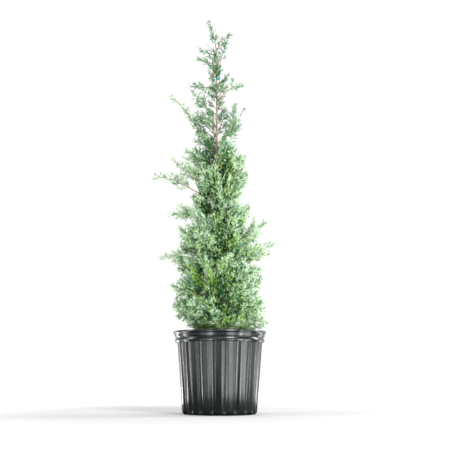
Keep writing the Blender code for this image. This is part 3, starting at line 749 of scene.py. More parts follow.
    def drill(self, pot: bpy.types.Object) -> None:
        """Cut round drain holes through the corner between wall and floor.

        Args:
            pot: The pot, whose mesh is changed.
        """
        group = bpy.data.collections.new("drain_cutters")
        bpy.context.scene.collection.children.link(group)
        around = np.linspace(0, 2 * math.pi, self.drain_sides, endpoint=False)[:, None]
        for k in range(self.drain_holes):
            turn = math.radians(360 * k / self.drain_holes + self.drain_turn)
            outwards = np.array((math.cos(turn), math.sin(turn), 0.0))
            corner = (self.base_radius - self.drain_inset) * outwards + self.floor * UP
            axis = unit(outwards + self.drain_dip * UP)
            first = square_to(axis[None], np.zeros(1))[0]
            disc = self.drain_radius * (np.cos(around) * first + np.sin(around) * np.cross(axis, first))
            low, high = corner - self.drain_reach * axis, corner + self.drain_reach * axis
            points, triangles = loft([low[None], low + disc, high + disc, high[None]])
            mesh = bpy.data.meshes.new("drain")
            mesh.from_pydata(points.tolist(), [], triangles.tolist())
            group.objects.link(bpy.data.objects.new("drain", mesh))
        cut = pot.modifiers.new("Drain", "BOOLEAN")
        cut.operation, cut.operand_type, cut.solver = "DIFFERENCE", "COLLECTION", "EXACT"
        cut.collection = group
        bpy.context.view_layer.update()
        drilled = bpy.data.meshes.new_from_object(pot.evaluated_get(bpy.context.evaluated_depsgraph_get()))
        pot.modifiers.clear()
        pot.data = drilled
        for cutter in list(group.objects):
            bpy.data.objects.remove(cutter, do_unlink=True)
        bpy.data.collections.remove(group)

    def build(self) -> None:
        """Make the pot."""
        base, floor = self.base_ribs[0][1] * UP[None], self.floor * UP[None]
        shell = Pieces()
        shell.add(*loft([base, *self.wall_rings(), *self.turned_rings(), floor]))
        finish = MouldedPolyethylene().material()
        self.drill(shell.build("moulded_pot", finish, "pot_plastic", ["pot"], self.crease))


# The potting mix

@dataclass
class PottingMix:
    """The filling of the pot: a crumbly surface with bark chips and grains of perlite on it."""

    pot: NurseryPot
    level: float = 0.216
    # The surface rises to a low crown, and then settles towards the wall.
    crown: float = 0.002
    crown_radius: float = 0.080
    settled: float = 1.4
    edge_radius: float = 0.126
    relief: float = 0.0022
    crumbs_a_metre: float = 90.0
    gap: float = 0.0003
    sides: int = 180
    rings: int = 56
    clear_of_stem: float = 0.015
    scattered_to: float = 0.122
    chips: int = 1500
    # Half lengths of a chip along its three axes, and of a grain, in millimetres, and how far the
    # middle of each stands over the surface.
    chip_mm: tuple[Pair, ...] = ((1.4, 5.5), (0.8, 2.2), (0.3, 0.9))
    grains: int = 240
    grain_mm: Pair = (0.6, 1.7)
    lifts_mm: Pair = (0.4, 0.8)
    crease: float = 30.0
    seed: int = 7

    def surface_height(self, x: float, y: float) -> float:
        """Find the height of the crumbly surface at a place.

        Args:
            x: How far to the right it is.
            y: How far behind the middle it is.

        Returns:
            The height over the ground.
        """
        out = math.hypot(x, y)
        rise = self.crown * min(1.0, out / self.crown_radius)
        past = max(0.0, out - self.crown_radius) / (self.edge_radius - self.crown_radius)
        rough = noise.fractal(Vector((self.crumbs_a_metre * x, self.crumbs_a_metre * y, 3.1)), 0.8, 2.1, 4)
        return self.level + rise - self.settled * self.crown * past + self.relief * rough

    def body(self) -> Pieces:
        """Make the whole filling, with its top drawn finely.

        Returns:
            The filling as one shape.
        """
        pot = self.pot
        inner = pot.inner_radius(pot.under_rim) - 1.8 * self.gap
        foot, floor = pot.inner_radius(pot.floor), pot.floor + self.gap
        out, low, high = pot.inner_step
        round_ring = circle(np.linspace(0, 2 * math.pi, self.sides, endpoint=False))
        sides = (
            (0.002, floor),
            (foot - 0.004, floor),
            (foot - 1.3 * self.gap, floor + 0.004),
            (inner, pot.under_rim + low + self.gap),
            (inner + out, pot.under_rim + high + self.gap),
        )
        rings = [radius * round_ring + height * UP for radius, height in sides]
        for radius in np.linspace(inner + out, 0.004, self.rings):
            ring = radius * round_ring
            ring[:, 2] = [self.surface_height(x, y) for x, y, _ in ring]
            rings.append(ring)
        made = Pieces()
        made.add(*loft(rings))
        return made

    def scatter(self, count: int, dice: Dice) -> Array:
        """Find places on the surface, clear of the stem and of the pot's wall.

        Args:
            count: How many.
            dice: The source of chance.

        Returns:
            One place a row.
        """
        out = np.sqrt(dice.uniform(self.clear_of_stem**2, self.scattered_to**2, count))
        turn = dice.uniform(0, 2 * math.pi, count)
        x, y = out * np.cos(turn), out * np.sin(turn)
        return np.stack((x, y, [self.surface_height(a, b) for a, b in zip(x, y)]), axis=1)

    def lumps(self, places: Array, size: Array, dice: Dice) -> Pieces:
        """Make irregular eight-cornered lumps.

        Args:
            places: Their middles.
            size: Half lengths along the three axes of each.
            dice: The source of chance.

        Returns:
            The lumps as one set of pieces.
        """
        count = len(places)
        square = ((-1, -1), (1, -1), (1, 1), (-1, 1))
        corners = np.array([(x, y, z) for z in (-1, 1) for x, y in square], float)
        corners = corners[None] * dice.uniform(0.45, 1.15, (count, 8, 3)) * size[:, None, :]
        lie = unit(np.stack((dice.normal(0, 0.35, count), dice.normal(0, 0.35, count), np.ones(count)), 1))
        first = square_to(lie, dice.uniform(0, 2 * math.pi, count))
        axes = np.stack((first, np.cross(lie, first), lie), axis=1)
        quads = ((3, 2, 1, 0), (4, 5, 6, 7), (0, 1, 5, 4), (1, 2, 6, 5), (2, 3, 7, 6), (3, 0, 4, 7))
        triangles = np.array([t for a, b, c, d in quads for t in ((a, b, c), (a, c, d))])
        made = Pieces()
        made.add_many(places[:, None, :] + np.einsum("nij,njk->nik", corners, axes), triangles)
        return made

    def build(self) -> None:
        """Make the filling, its chips and its grains."""
        dice, nodes = np.random.default_rng(self.seed), ["potting_mix"]
        self.body().build("mix_body", CompostedBark().material(), "potting_mix", nodes)
        size = np.stack([dice.uniform(*span, self.chips) * MM for span in self.chip_mm], axis=1)
        places = self.scatter(self.chips, dice) + self.lifts_mm[0] * MM * UP
        chips = self.lumps(places, size, dice)
        chips.build("mix_bark_chips", BarkChip().material(), "potting_mix", nodes, self.crease)
        size = dice.uniform(*self.grain_mm, (self.grains, 1)) * MM * dice.uniform(0.8, 1.2, (self.grains, 3))
        places = self.scatter(self.grains, dice) + self.lifts_mm[1] * MM * UP
        grains = self.lumps(places, size, dice)
        grains.build("mix_perlite", EXPANDED_PERLITE.material(), "potting_mix", nodes, self.crease)


# The trunk and the lines of the limbs

@dataclass
class Trunk:
    """The trunk's line, taper and root flare, as the source has them, and its bark."""

    foot: float = 0.216
    top: float = 1.258
    leader_foot: float = 1.258 - 6 * 0.018
    radius: float = 0.0080
    tip_radius: float = 0.0009
    taper: float = 1.15
    root_flare: float = 0.0055
    flare_height: float = 0.012
    lobes: int = 5
    lobe_depth: float = 0.28
    lean: float = 0.015
    # The sway towards the viewer, its share across, and how many radians both run through.
    sway: float = 0.004
    sway_across: float = 0.4
    waves: tuple[int, int] = (9, 7)
    nod: float = 0.031
    nod_from: float = 0.88
    nod_power: float = 1.3
    gap: float = 0.0003
    # The source's rings: above the foot, then first, step and count, then step and count to the top.
    low_rings: tuple[float, ...] = (0, 0.004, 0.010, 0.020, 0.040)
    middle_rings: tuple[float, float, int] = (0.300, 0.050, 17)
    top_rings: tuple[float, int] = (0.018, 6)
    sides: int = 22
    ring_step: float = 0.0026
    # The relief of the bark: its most, its most as a share of the radius, and its grain round the
    # trunk and up it.
    relief: float = 0.00042
    relief_share: float = 0.10
    grain: Pair = (4.8, 102.0)
    # The collar at each limb: how far it stands out, its half height and its half width in radians.
    collar: tuple[float, float, float] = (0.0009, 0.0045, 0.7)

    def __post_init__(self) -> None:
        """The heights of the source's rings, between which the trunk is straight."""
        self.heights = [self.foot + self.gap + step for step in self.low_rings]
        first, step, count = self.middle_rings
        self.heights += [first + step * k for k in range(count)]
        step, count = self.top_rings
        self.heights += [self.top - step * k for k in range(count, -1, -1)]

    def share(self, height: float) -> float:
        """0 at the potting mix, 1 at the top of the tree."""
        return (height - self.foot) / (self.top - self.foot)

    def curve(self, height: float) -> Array:
        """The trunk's centre: a slight lean and sway, and a leading shoot that nods over.

        Args:
            height: The height over the ground.

        Returns:
            The point.
        """
        share, (across, towards) = self.share(height), self.waves
        nod = max(0.0, (share - self.nod_from) / (1 - self.nod_from)) ** self.nod_power
        sway = self.sway_across * self.sway * math.sin(across * share)
        return np.array(
            (-self.lean * share + sway - self.nod * nod, self.sway * math.sin(towards * share), height)
        )

    def point(self, height: float) -> Array:
        """The trunk's centre, straight between the source's rings.

        Args:
            height: The height over the ground.

        Returns:
            The point.
        """
        after = min(bisect.bisect_right(self.heights, height), len(self.heights) - 1)
        low, high = self.heights[after - 1], self.heights[after]
        share = (height - low) / (high - low)
        return (1 - share) * self.curve(low) + share * self.curve(high)

    def thickness(self, height: float) -> float:
        """The trunk's radius without its root flare."""
        share = min(1.0, max(0.0, self.share(height)))
        return self.tip_radius + (self.radius - self.tip_radius) * (1 - share) ** self.taper

    def flare(self, height: float) -> float:
        """How far the root flare stands out."""
        return self.root_flare * math.exp(-(height - self.foot) / self.flare_height)

    def build(self, knots: Sequence[Pair]) -> None:
        """Make the trunk with strips of bark and a collar under each limb.

        Args:
            knots: Height and direction, in radians, of each limb on the trunk.
        """
        around = np.linspace(0, 2 * math.pi, self.sides, endpoint=False)
        lobe = 1 - self.lobe_depth + self.lobe_depth * np.cos(self.lobes * (around + math.pi))
        start, (across, up), (out_by, half_height, half_width) = self.heights[0], self.grain, self.collar
        count = round((self.leader_foot - start) / self.ring_step)
        rings = []
        for height in np.linspace(start, self.leader_foot, count):
            out = self.thickness(height) + self.flare(height) * lobe
            places = across * circle(around) + up * height * UP
            strips = np.array([noise.fractal(Vector(place), 0.7, 2.2, 3) for place in places])
            out += np.minimum(self.relief, self.relief_share * out) * strips
            for knot_height, knot_turn in knots:
                near = math.exp(-(((height - knot_height) / half_height) ** 2))
                aside = (around - knot_turn + math.pi) % (2 * math.pi) - math.pi
                out += out_by * near * np.exp(-((aside / half_width) ** 2))
            rings.append(self.point(height) + out[:, None] * circle(around))
        made = Pieces()
        made.add(*loft([self.point(start)[None], *rings, self.point(self.leader_foot)[None]]))
        made.build("trunk_bark", YoungBark().material(), "bark", ["trunk"])


@dataclass(frozen=True)
class Limb:
    """A limb's named sizes: see the source. Angles are in degrees, lengths in metres."""

    name: str
    height: float
    azimuth: float
    reach: float
    rise: float
    leave: float
    arrive: float
    bare: float


LIMBS_IN_VIEW = tuple(
    Limb(*row)
    for row in (
        ("right_1", 0.240, -16, 0.148, 0.027, 30, -5, 0),
        ("right_2", 0.262, 20, 0.148, 0.056, 25, 20, 0),
        ("right_3", 0.318, -30, 0.144, 0.072, 30, 25, 0),
        ("right_4", 0.425, 6, 0.178, 0.085, 25, 15, 0.060),
        ("right_5", 0.480, -14, 0.151, 0.091, 30, 35, 0.055),
        ("right_6", 0.545, 24, 0.106, 0.088, 35, 45, 0),
        ("right_7", 0.630, -12, 0.090, 0.097, 35, 55, 0),
        ("right_8", 0.707, 22, 0.090, 0.084, 30, 50, 0),
        ("right_9", 0.784, 2, 0.060, 0.173, 5, 72, 0.040),
        ("right_10", 0.822, -26, 0.096, 0.104, 15, 55, 0),
        ("left_1", 0.262, 197, 0.132, 0.020, 42, -45, 0),
        ("left_2", 0.292, 166, 0.150, 0.030, 30, -5, 0),
        ("left_3", 0.330, 190, 0.150, 0.046, 25, 15, 0.045),
        ("left_4", 0.425, 176, 0.181, 0.041, 40, -12, 0.055),
        ("left_5", 0.480, 206, 0.137, 0.068, 35, 25, 0),
        ("left_6", 0.572, 169, 0.154, 0.024, 52, -45, 0.050),
        ("left_7", 0.645, 182, 0.208, 0.061, 5, -28, 0.080),
        ("left_8", 0.672, 198, 0.150, 0.096, 10, 40, 0.055),
        ("left_9", 0.745, 171, 0.105, 0.067, 5, 42, 0),
        ("left_10", 0.815, 186, 0.154, 0.158, 25, 20, 0.050),
        ("left_11", 0.852, 158, 0.070, 0.085, 35, 60, 0),
        ("left_12", 0.918, 186, 0.080, 0.078, 30, 55, 0),
        ("left_13", 0.995, 172, 0.093, 0.021, 40, -2, 0),
        ("left_14", 1.075, 200, 0.068, 0.020, 35, 0, 0),
        ("left_15", 1.112, 165, 0.055, 0.026, 45, 10, 0),
        ("top_right", 1.138, -5, 0.046, 0.055, 35, 60, 0),
    )
)


# Young limbs that fill the crown between those that the photograph picks out.
FILLING_LIMBS = tuple(
    Limb(*row)
    for row in (
        ("filling_1", 0.290, 4, 0.132, 0.040, 30, 12, 0),
        ("filling_2", 0.362, -10, 0.126, 0.066, 30, 25, 0),
        ("filling_3", 0.372, 186, 0.126, 0.060, 30, 20, 0),
        ("filling_4", 0.462, 180, 0.112, 0.072, 30, 35, 0),
        ("filling_5", 0.365, 36, 0.122, 0.062, 30, 25, 0),
        ("filling_6", 0.380, 148, 0.120, 0.064, 30, 25, 0),
        ("filling_7", 0.258, 214, 0.112, 0.012, 30, -10, 0),
        ("filling_8", 0.254, 176, 0.092, 0.010, 30, -10, 0),
        ("filling_9", 0.792, 174, 0.062, 0.090, 22, 64, 0),
        ("filling_10", 0.247, 266, 0.110, 0.014, 30, -10, 0),
    )
)


def slope(azimuth: float, rise: float) -> Array:
    """A direction from its azimuth and its elevation, in degrees."""
    turn, lift = math.radians(azimuth), math.radians(rise)
    return np.array((math.cos(turn) * math.cos(lift), math.sin(turn) * math.cos(lift), math.sin(lift)))


def arc(start: Array, end: Array, leave: Array, arrive: Array) -> Array:
    """A smooth curve with given directions at both ends.

    Args:
        start: Its first point.
        end: Its last point.
        leave: The direction in which it starts.
        arrive: The direction in which it ends.

    Returns:
        33 points, one a row.
    """
    reach = np.linalg.norm(end - start)
    t = np.linspace(0, 1, 33)[:, None]
    return (
        (2 * t**3 - 3 * t**2 + 1) * start
        + (t**3 - 2 * t**2 + t) * reach * leave
        + (3 * t**2 - 2 * t**3) * end
        + (t**3 - t**2) * reach * arrive
    )


def lengths_along(path: Array) -> Array:
    """Distance from the first point to each point of a path."""
    return np.concatenate(((0.0,), np.cumsum(np.linalg.norm(np.diff(path, axis=0), axis=1))))


def leave_wood(path: Array, axis: Array, clear: float) -> Array:
    """The part of a path that is outside the wood it starts in.

    Args:
        path: The points of the path.
        axis: The wood's own direction.
        clear: How far from the path's first point the wood ends.

    Returns:
        The rest of the path.
    """
    direction = unit(path[1] - path[0])
    normal = unit(direction - direction.dot(axis) * axis)
    out = (path - path[0]) @ normal
    after = int(np.argmax(out > clear))
    share = (clear - out[after - 1]) / (out[after] - out[after - 1])
    start = path[after - 1] + share * (path[after] - path[after - 1])
    return np.vstack((start[None], path[after:]))


@dataclass
class Branch:
    """A limb as it is built: its path, its bare bough, and the leafy stem beyond."""

    name: str
    path: Array
    radius: float
    bare: float
    narrowing: float = 0.38
    look: float = 0.004

    def __post_init__(self) -> None:
        """Measure the path."""
        self.lengths = lengths_along(self.path)
        self.length = float(self.lengths[-1])

    def at(self, distances: Array) -> Array:
        """Points at distances along the path."""
        return np.stack([np.interp(distances, self.lengths, self.path[:, k]) for k in range(3)], axis=1)

    def heading(self, distances: Array) -> Array:
        """Directions at distances along the path."""
        low = self.at(np.maximum(distances - self.look, 0))
        return unit(self.at(np.minimum(distances + self.look, self.length)) - low)

    def bough_radius(self, distance: float) -> float:
        """The bare bough's radius at a distance from its foot."""
        return self.radius * (1 - self.narrowing * distance / self.bare)


@dataclass
class Skeleton:
    """All the limbs, found from their named sizes by the source's rules."""

    trunk: Trunk
    gap: float = 0.0003
    crown_foot: float = 0.235
    crown_spread: float = 0.150
    crown_rounding: float = 0.82
    # The crown's width at its foot as a share of its spread, and how fast it grows from there.
    crown_widening: Pair = (0.70, 3.6)
    # How far a limb may bow aside, and the radians a metre of height that set which way.
    bow: Pair = (0.006, 61)
    # A limb's radius: the most, a share of the trunk's, and what is added to that.
    limb_radius: tuple[float, float, float] = (0.0026, 0.42, 0.0006)
    depth_sectors: tuple[tuple[str, float, float], ...] = (("front", 270, 0.246), ("back", 90, 0.270))
    depth_limbs: int = 8
    depth_step: float = 0.103
    depth_swing: float = 38.0
    depth_swing_less: float = 0.06
    depth_rise: Pair = (0.50, 0.012)
    depth_reach: float = 1.04
    depth_angles: tuple[float, float, float] = (38, 22, 5)
    # The fork near the top: where its arm leaves and how far it runs, where the second leader and
    # the arm's shoot end, the radius of each of the three, and the second leader's bare foot.
    fork_height: float = 0.961
    arm_run: tuple[float, ...] = (0.024, 0, 0.027)
    second_tip: tuple[float, ...] = (0.022, -0.001, 1.163)
    arm_shoot_tip: tuple[float, ...] = (0.080, -0.004, 1.016)
    fork_radii: tuple[float, float, float] = (0.0021, 0.0015, 0.0014)
    second_seat: float = 0.003
    second_bare: float = 0.088
    leader_radius: float = 0.0014

    def crown_radius(self, height: Array | float) -> Array:
        """The crown's outline: a narrow cone, drawn in a little just above the rim.

        Args:
            height: The height over the ground.

        Returns:
            The radius at each height.
        """
        share = np.clip((np.asarray(height) - self.crown_foot) / (self.trunk.top - self.crown_foot), 0, 1)
        foot, rate = self.crown_widening
        return self.crown_spread * np.minimum(1.0, foot + rate * share) * (1 - share) ** self.crown_rounding

    def from_trunk(self, limb: Limb) -> Branch:
        """Find the line of a limb that leaves the trunk at its own height.

        Args:
            limb: Its named sizes.

        Returns:
            The limb.
        """
        trunk = self.trunk
        start = trunk.point(limb.height)
        tip = start + limb.reach * slope(limb.azimuth, 0) + limb.rise * UP
        path = arc(start, tip, slope(limb.azimuth, limb.leave), slope(limb.azimuth, limb.arrive))
        bow = self.bow[0] * math.sin(self.bow[1] * limb.height)
        path = path + bow * np.sin(np.linspace(0, math.pi, len(path)))[:, None] * slope(limb.azimuth + 90, 0)
        wood = trunk.thickness(limb.height) + trunk.flare(limb.height)
        axis = unit(trunk.point(limb.height + 0.01) - trunk.point(limb.height - 0.01))
        path = leave_wood(path, axis, wood + self.gap)
        most, share, more = self.limb_radius
        return Branch(limb.name, path, min(most, share * trunk.thickness(limb.height) + more), limb.bare)

    def in_depth(self) -> list[Limb]:
        """Lay out the limbs towards and away from the viewer.

        Returns:
            Their named sizes.
        """
        found = []
        share, more = self.depth_rise
        leave, arrive, higher = self.depth_angles
        for side, middle, foot in self.depth_sectors:
            for level in range(self.depth_limbs):
                height = foot + self.depth_step * level
                swing = self.depth_swing * (1 if level % 2 else -1) * (1 - self.depth_swing_less * level)
                rise = share * float(self.crown_radius(height)) + more
                reach = self.depth_reach * float(self.crown_radius(height + rise))
                sizes = (height, middle + swing, reach, rise, leave, arrive + higher * level, 0)
                found.append(Limb(f"{side}_{level + 1}", *sizes))
        return found

    def fork(self) -> list[Branch]:
        """Find the arm near the top, the second leader on it and the shoot from its tip.

        Returns:
            The three limbs.
        """
        foot = self.trunk.point(self.fork_height)
        path = arc(foot, foot + np.array(self.arm_run), slope(0, 35), slope(0, 55))
        path = leave_wood(path, UP, self.trunk.thickness(self.fork_height) + self.gap)
        arm = Branch("arm", path, self.fork_radii[0], float(lengths_along(path)[-1]))
        seat = arm.at(np.array([arm.bare - self.second_seat]))[0]
        along = arm.heading(np.array([arm.bare]))[0]
        path = arc(seat, np.array(self.second_tip), slope(155, 62), slope(0, 66))
        path = leave_wood(path, along, arm.bough_radius(arm.bare) + self.gap)
        second = Branch("second_leader", path, self.fork_radii[1], self.second_bare)
        shoot = arc(arm.path[-1] + self.gap * along, np.array(self.arm_shoot_tip), along, slope(0, 5))
        return [arm, second, Branch("arm_shoot", shoot, self.fork_radii[2], 0)]

    def leader(self) -> Branch:
        """The green leading shoot above the trunk."""
        heights = np.linspace(self.trunk.leader_foot + self.gap, self.trunk.top, 12)
        return Branch("leader", np.array([self.trunk.point(h) for h in heights]), self.leader_radius, 0)

    def branches(self) -> list[Branch]:
        """Every limb of the crown, in the source's order, and then the filling ones."""
        shown = [self.from_trunk(limb) for limb in (*LIMBS_IN_VIEW, *self.in_depth())]
        return shown + self.fork() + [self.leader()] + [self.from_trunk(limb) for limb in FILLING_LIMBS]


@dataclass
class Space:
    """Tells which points a limb's growth may reach: clear of wood and pot, and inside the crown."""

    skeleton: Skeleton
    branches: list[Branch]
    # The crown is drawn in on its right between two heights, by a share of its radius. It starts
    # and ends softly, and the right starts softly at the middle.
    drawn_in: float = 0.20
    drawn_in_between: Pair = (0.54, 0.80)
    drawn_in_softly: Pair = (0.04, 0.08)
    right_of: Pair = (0.0, 0.6)
    # Its edge is frayed by three waves: turns round it, radians a metre up, and start.
    fray_share: float = 0.065
    fray_waves: tuple[tuple[float, float, float], ...] = ((5, 74, 0), (8, -58, 1.3), (3, 130, 0.7))
    sleeve: float = 0.034
    mingle: float = 0.035
    wood_clear: float = 0.0012
    box_clear: float = 0.0015
    # Growth stands over the mix inside this radius and over the rim outside it.
    mix_radius: float = 0.1177
    floors: Pair = (0.216, 0.241)
    floor_clear: float = 0.004
    top_clear: float = 0.003
    # The tie shows from the viewer's side: its middle, and how far growth keeps from it.
    tie_middle: Pair = (-0.001, 1.0385)
    tie_clear: Pair = (0.016, 0.0105)
    # The bare trunk shows between two heights, this wide to each side.
    trunk_seen: Pair = (0.800, 0.955)
    trunk_aside: float = 0.0070
    # Where the trunk's line is looked up.
    line: tuple[float, float, int] = (0.2, 1.30, 441)
    line_top: float = 1.257

    def __post_init__(self) -> None:
        """Lay all the limbs' stretches end to end."""
        starts = [branch.path[:-1] for branch in self.branches]
        self.starts = np.vstack(starts)
        self.runs = np.vstack([branch.path[1:] for branch in self.branches]) - self.starts
        self.squares = (self.runs**2).sum(axis=1)
        self.owners = np.repeat(np.arange(len(starts)), [len(part) for part in starts])
        woods = []
        for branch in self.branches:
            for travelled in branch.lengths[:-1]:
                bare = branch.bare and travelled < branch.bare
                woods.append(branch.bough_radius(travelled) if bare else 0.0)
        self.woods = np.array(woods)
        trunk, heights = self.skeleton.trunk, np.linspace(*self.line)
        self.trunk_heights = heights
        self.trunk_line = np.array([trunk.point(min(h, self.line_top)) for h in heights])
        self.trunk_width = np.array([trunk.thickness(h) + trunk.flare(h) for h in heights])

    def distances(self, points: Array, chosen: Array) -> Array:
        """Measure how far points are from stretches of limb.

        Args:
            points: The points, one a row.
            chosen: Which stretches count.

        Returns:
            One row for each point, one column for each chosen stretch.
        """
        starts, runs, squares = self.starts[chosen], self.runs[chosen], self.squares[chosen]
        offset = points[:, None, :] - starts[None]
        share = np.clip((offset * runs).sum(axis=2) / squares, 0, 1)
        return np.sqrt(((offset - share[:, :, None] * runs) ** 2).sum(axis=2))

    def off_trunk(self, points: Array) -> Array:
        """How far points are from the trunk's middle, measured level."""
        x, y = (np.interp(points[:, 2], self.trunk_heights, self.trunk_line[:, k]) for k in (0, 1))
        return np.hypot(points[:, 0] - x, points[:, 1] - y)

    def fray(self, points: Array) -> Array:
        """Find how far the crown's edge stands out or in near points.

        Args:
            points: The points, one a row.

        Returns:
            A factor on the crown's radius for each.
        """
        turn, height = np.arctan2(points[:, 1], points[:, 0]), points[:, 2]
        waves = sum(np.sin(across * turn + up * height + start) for across, up, start in self.fray_waves)
        return 1 + self.fray_share * waves

    def hiding(self, points: Array) -> Array:
        """Tell whether points hide the tie or the bare trunk from the viewer.

        Args:
            points: The points, one a row.

        Returns:
            True for each that does.
        """
        share = EYE[1] / (EYE[1] - points[:, 1])
        seen = (EYE + share[:, None] * (points - EYE))[:, (0, 2)]
        aside = (seen - self.tie_middle) / self.tie_clear
        tie = np.hypot(aside[:, 0], aside[:, 1]) < 1
        line = np.interp(seen[:, 1], self.trunk_heights, self.trunk_line[:, 0])
        trunk = np.abs(seen[:, 0] - line) < self.trunk_aside
        trunk &= (seen[:, 1] > self.trunk_seen[0]) & (seen[:, 1] < self.trunk_seen[1])
        return (tie | trunk) & (points[:, 1] < 0)

    def in_crown(
        self, points: Array, nearest: Array, sleeve: float, ragged: Array | float = 1.0
    ) -> Array:
        """Whether points are above pot and mix, clear of the trunk and inside the crown or a sleeve.

        Args:
            points: The points, one a row.
            nearest: How far each is from its own limb.
            sleeve: How far from its limb growth may stand outside the crown.
            ragged: Each point's own factor on the crown's radius.

        Returns:
            True for each point that may be reached.
        """
        trunk, heights = self.skeleton.trunk, points[:, 2]
        out = np.hypot(points[:, 0], points[:, 1])
        floor = np.where(out < self.mix_radius, *self.floors)
        inside = (heights > floor + self.floor_clear) & (heights < trunk.top - self.top_clear)
        boxed = (points > BOX_LOW + self.box_clear) & (points < BOX_HIGH - self.box_clear)
        inside &= boxed.all(axis=1) & ~self.hiding(points)
        wide = np.interp(heights, self.trunk_heights, self.trunk_width)
        clear = (self.off_trunk(points) > wide + self.wood_clear) | (heights > trunk.leader_foot)
        (low, high), (under, over) = self.drawn_in_between, self.drawn_in_softly
        between = smoothstep(low - under, low, heights) * (1 - smoothstep(high, high + over, heights))
        right = smoothstep(*self.right_of, points[:, 0] / np.maximum(out, 1e-6))
        radius = self.skeleton.crown_radius(heights) * (1 - self.drawn_in * between * right)
        radius = radius * self.fray(points) * ragged
        return inside & clear & ((nearest < sleeve) | (out < radius))

    def keeps(self, index: int, points: Array) -> Array:
        """Tell which points are in the space that a limb's side shoots may fill.

        Args:
            index: The limb's number.
            points: The points, one a row.

        Returns:
            True for each that is.
        """
        distance = self.distances(points, np.ones(len(self.owners), bool))
        own, bare = self.owners == index, self.woods > 0
        nearest = distance[:, own].min(axis=1)
        apart = distance[:, ~own].min(axis=1) > nearest - self.mingle
        clear = (distance[:, bare] - self.woods[bare]).min(axis=1) > self.wood_clear
        return apart & clear & self.in_crown(points, nearest, self.sleeve)


# Growth

@dataclass
class Shoots:
    """Many curved shoots: where each starts and heads, how it bends, and how long it is."""

    root: Array
    along: Array
    bend: Array
    length: Array
    limb: Array

    def at(self, share: Array) -> Array:
        """The point at a share of each shoot's length."""
        share = share[:, None]
        return self.root + self.length[:, None] * (share * self.along + share**2 * self.bend)

    def middles(self) -> Array:
        """The point half way along each shoot."""
        return self.at(np.full(len(self.length), 0.5))

    def heading(self, share: Array) -> Array:
        """The direction at a share of each shoot's length."""
        return unit(self.along + 2 * share[:, None] * self.bend)

    def only(self, chosen: Array) -> "Shoots":
        """The chosen shoots."""
        return Shoots(*(values[chosen] for values in vars(self).values()))

    def joined(self, other: "Shoots") -> "Shoots":
        """These shoots and the others after them."""
        mine, theirs = vars(self).values(), vars(other).values()
        return Shoots(*(np.concatenate(pair) for pair in zip(mine, theirs)))


@dataclass(frozen=True)
class Order:
    """One order of branching: how closely its shoots stand, how they lean, and how long they are.

    Each is three-sided and pointed at both ends. Its profile gives its rings, by their share of the
    length and of the radius. Angles are in degrees, lengths in metres.
    """

    first: float
    step: float
    angle: float
    loose: float
    longest: float
    shortest: float
    share_of_parent: float
    forward: float
    lift: float
    radius: float
    profile: tuple[Pair, ...]
    # How far chance moves a shoot along its parent, as a share of the step, and round it, the ends
    # that it keeps from, and the factors on its length and on its radius.
    jitter: float = 0.3
    wander: float = 22.0
    between: Pair = (0.02, 0.98)
    lengths: Pair = (0.65, 1.15)
    widths: Pair = (0.85, 1.15)


# The twigs on a side branch, the shoots on both, and the cords of scale leaves on those.
TWIG = Order(
    first=0.008, step=0.0080, angle=38.0, loose=9.0, longest=0.046, shortest=0.010, share_of_parent=0.48,
    forward=0.26, lift=0.16, radius=0.00070, profile=((0.0, 1.0), (0.5, 0.8)),
)
SHOOT = Order(
    first=0.0035, step=0.0052, angle=31.0, loose=8.0, longest=0.027, shortest=0.0080, share_of_parent=0.38,
    forward=0.26, lift=0.12, radius=0.00093, profile=((0.45, 1.0),),
)
CORD = Order(
    first=0.0025, step=0.0029, angle=29.0, loose=8.0, longest=0.0145, shortest=0.0076, share_of_parent=0.5,
    forward=0.18, lift=0.05, radius=0.00099, profile=((0.5, 1.0),),
)


def branch_out(parents: Shoots, order: Order, dice: Dice) -> tuple[Shoots, Array, Array]:
    """Grow the next order of shoots all round their parents by the golden angle.

    Args:
        parents: The shoots that carry them.
        order: Their spacing, lean and size.
        dice: The source of chance.

    Returns:
        The new shoots, the number of each one's parent, and how far along it each stands (0 to 1).
    """
    counts = np.maximum(0, np.floor((parents.length - order.first) / order.step)).astype(int)
    parent = np.repeat(np.arange(len(counts)), counts)
    count = len(parent)
    rank = np.arange(count) - np.repeat(np.cumsum(counts) - counts, counts)
    spot = order.first + order.step * (rank + dice.uniform(-order.jitter, order.jitter, count))
    share = np.clip(spot / parents.length[parent], *order.between)
    carrying = parents.only(parent)
    heading = carrying.heading(share)
    phase = dice.uniform(0, 2 * math.pi, len(counts))[parent]
    turn = phase + GOLDEN_ANGLE * rank + np.radians(dice.uniform(-order.wander, order.wander, count))
    lean = np.radians(order.angle + dice.uniform(-order.loose, order.loose, count))[:, None]
    along = unit(np.cos(lean) * heading + np.sin(lean) * square_to(heading, turn))
    left = (1 - share) * parents.length[parent]
    length = np.minimum(order.longest, order.shortest + order.share_of_parent * left)
    length = length * dice.uniform(*order.lengths, count)
    bend = order.forward * heading + order.lift * UP
    bend = bend - (bend * along).sum(axis=1, keepdims=True) * along
    return Shoots(carrying.at(share), along, bend, length, parents.limb[parent]), parent, share


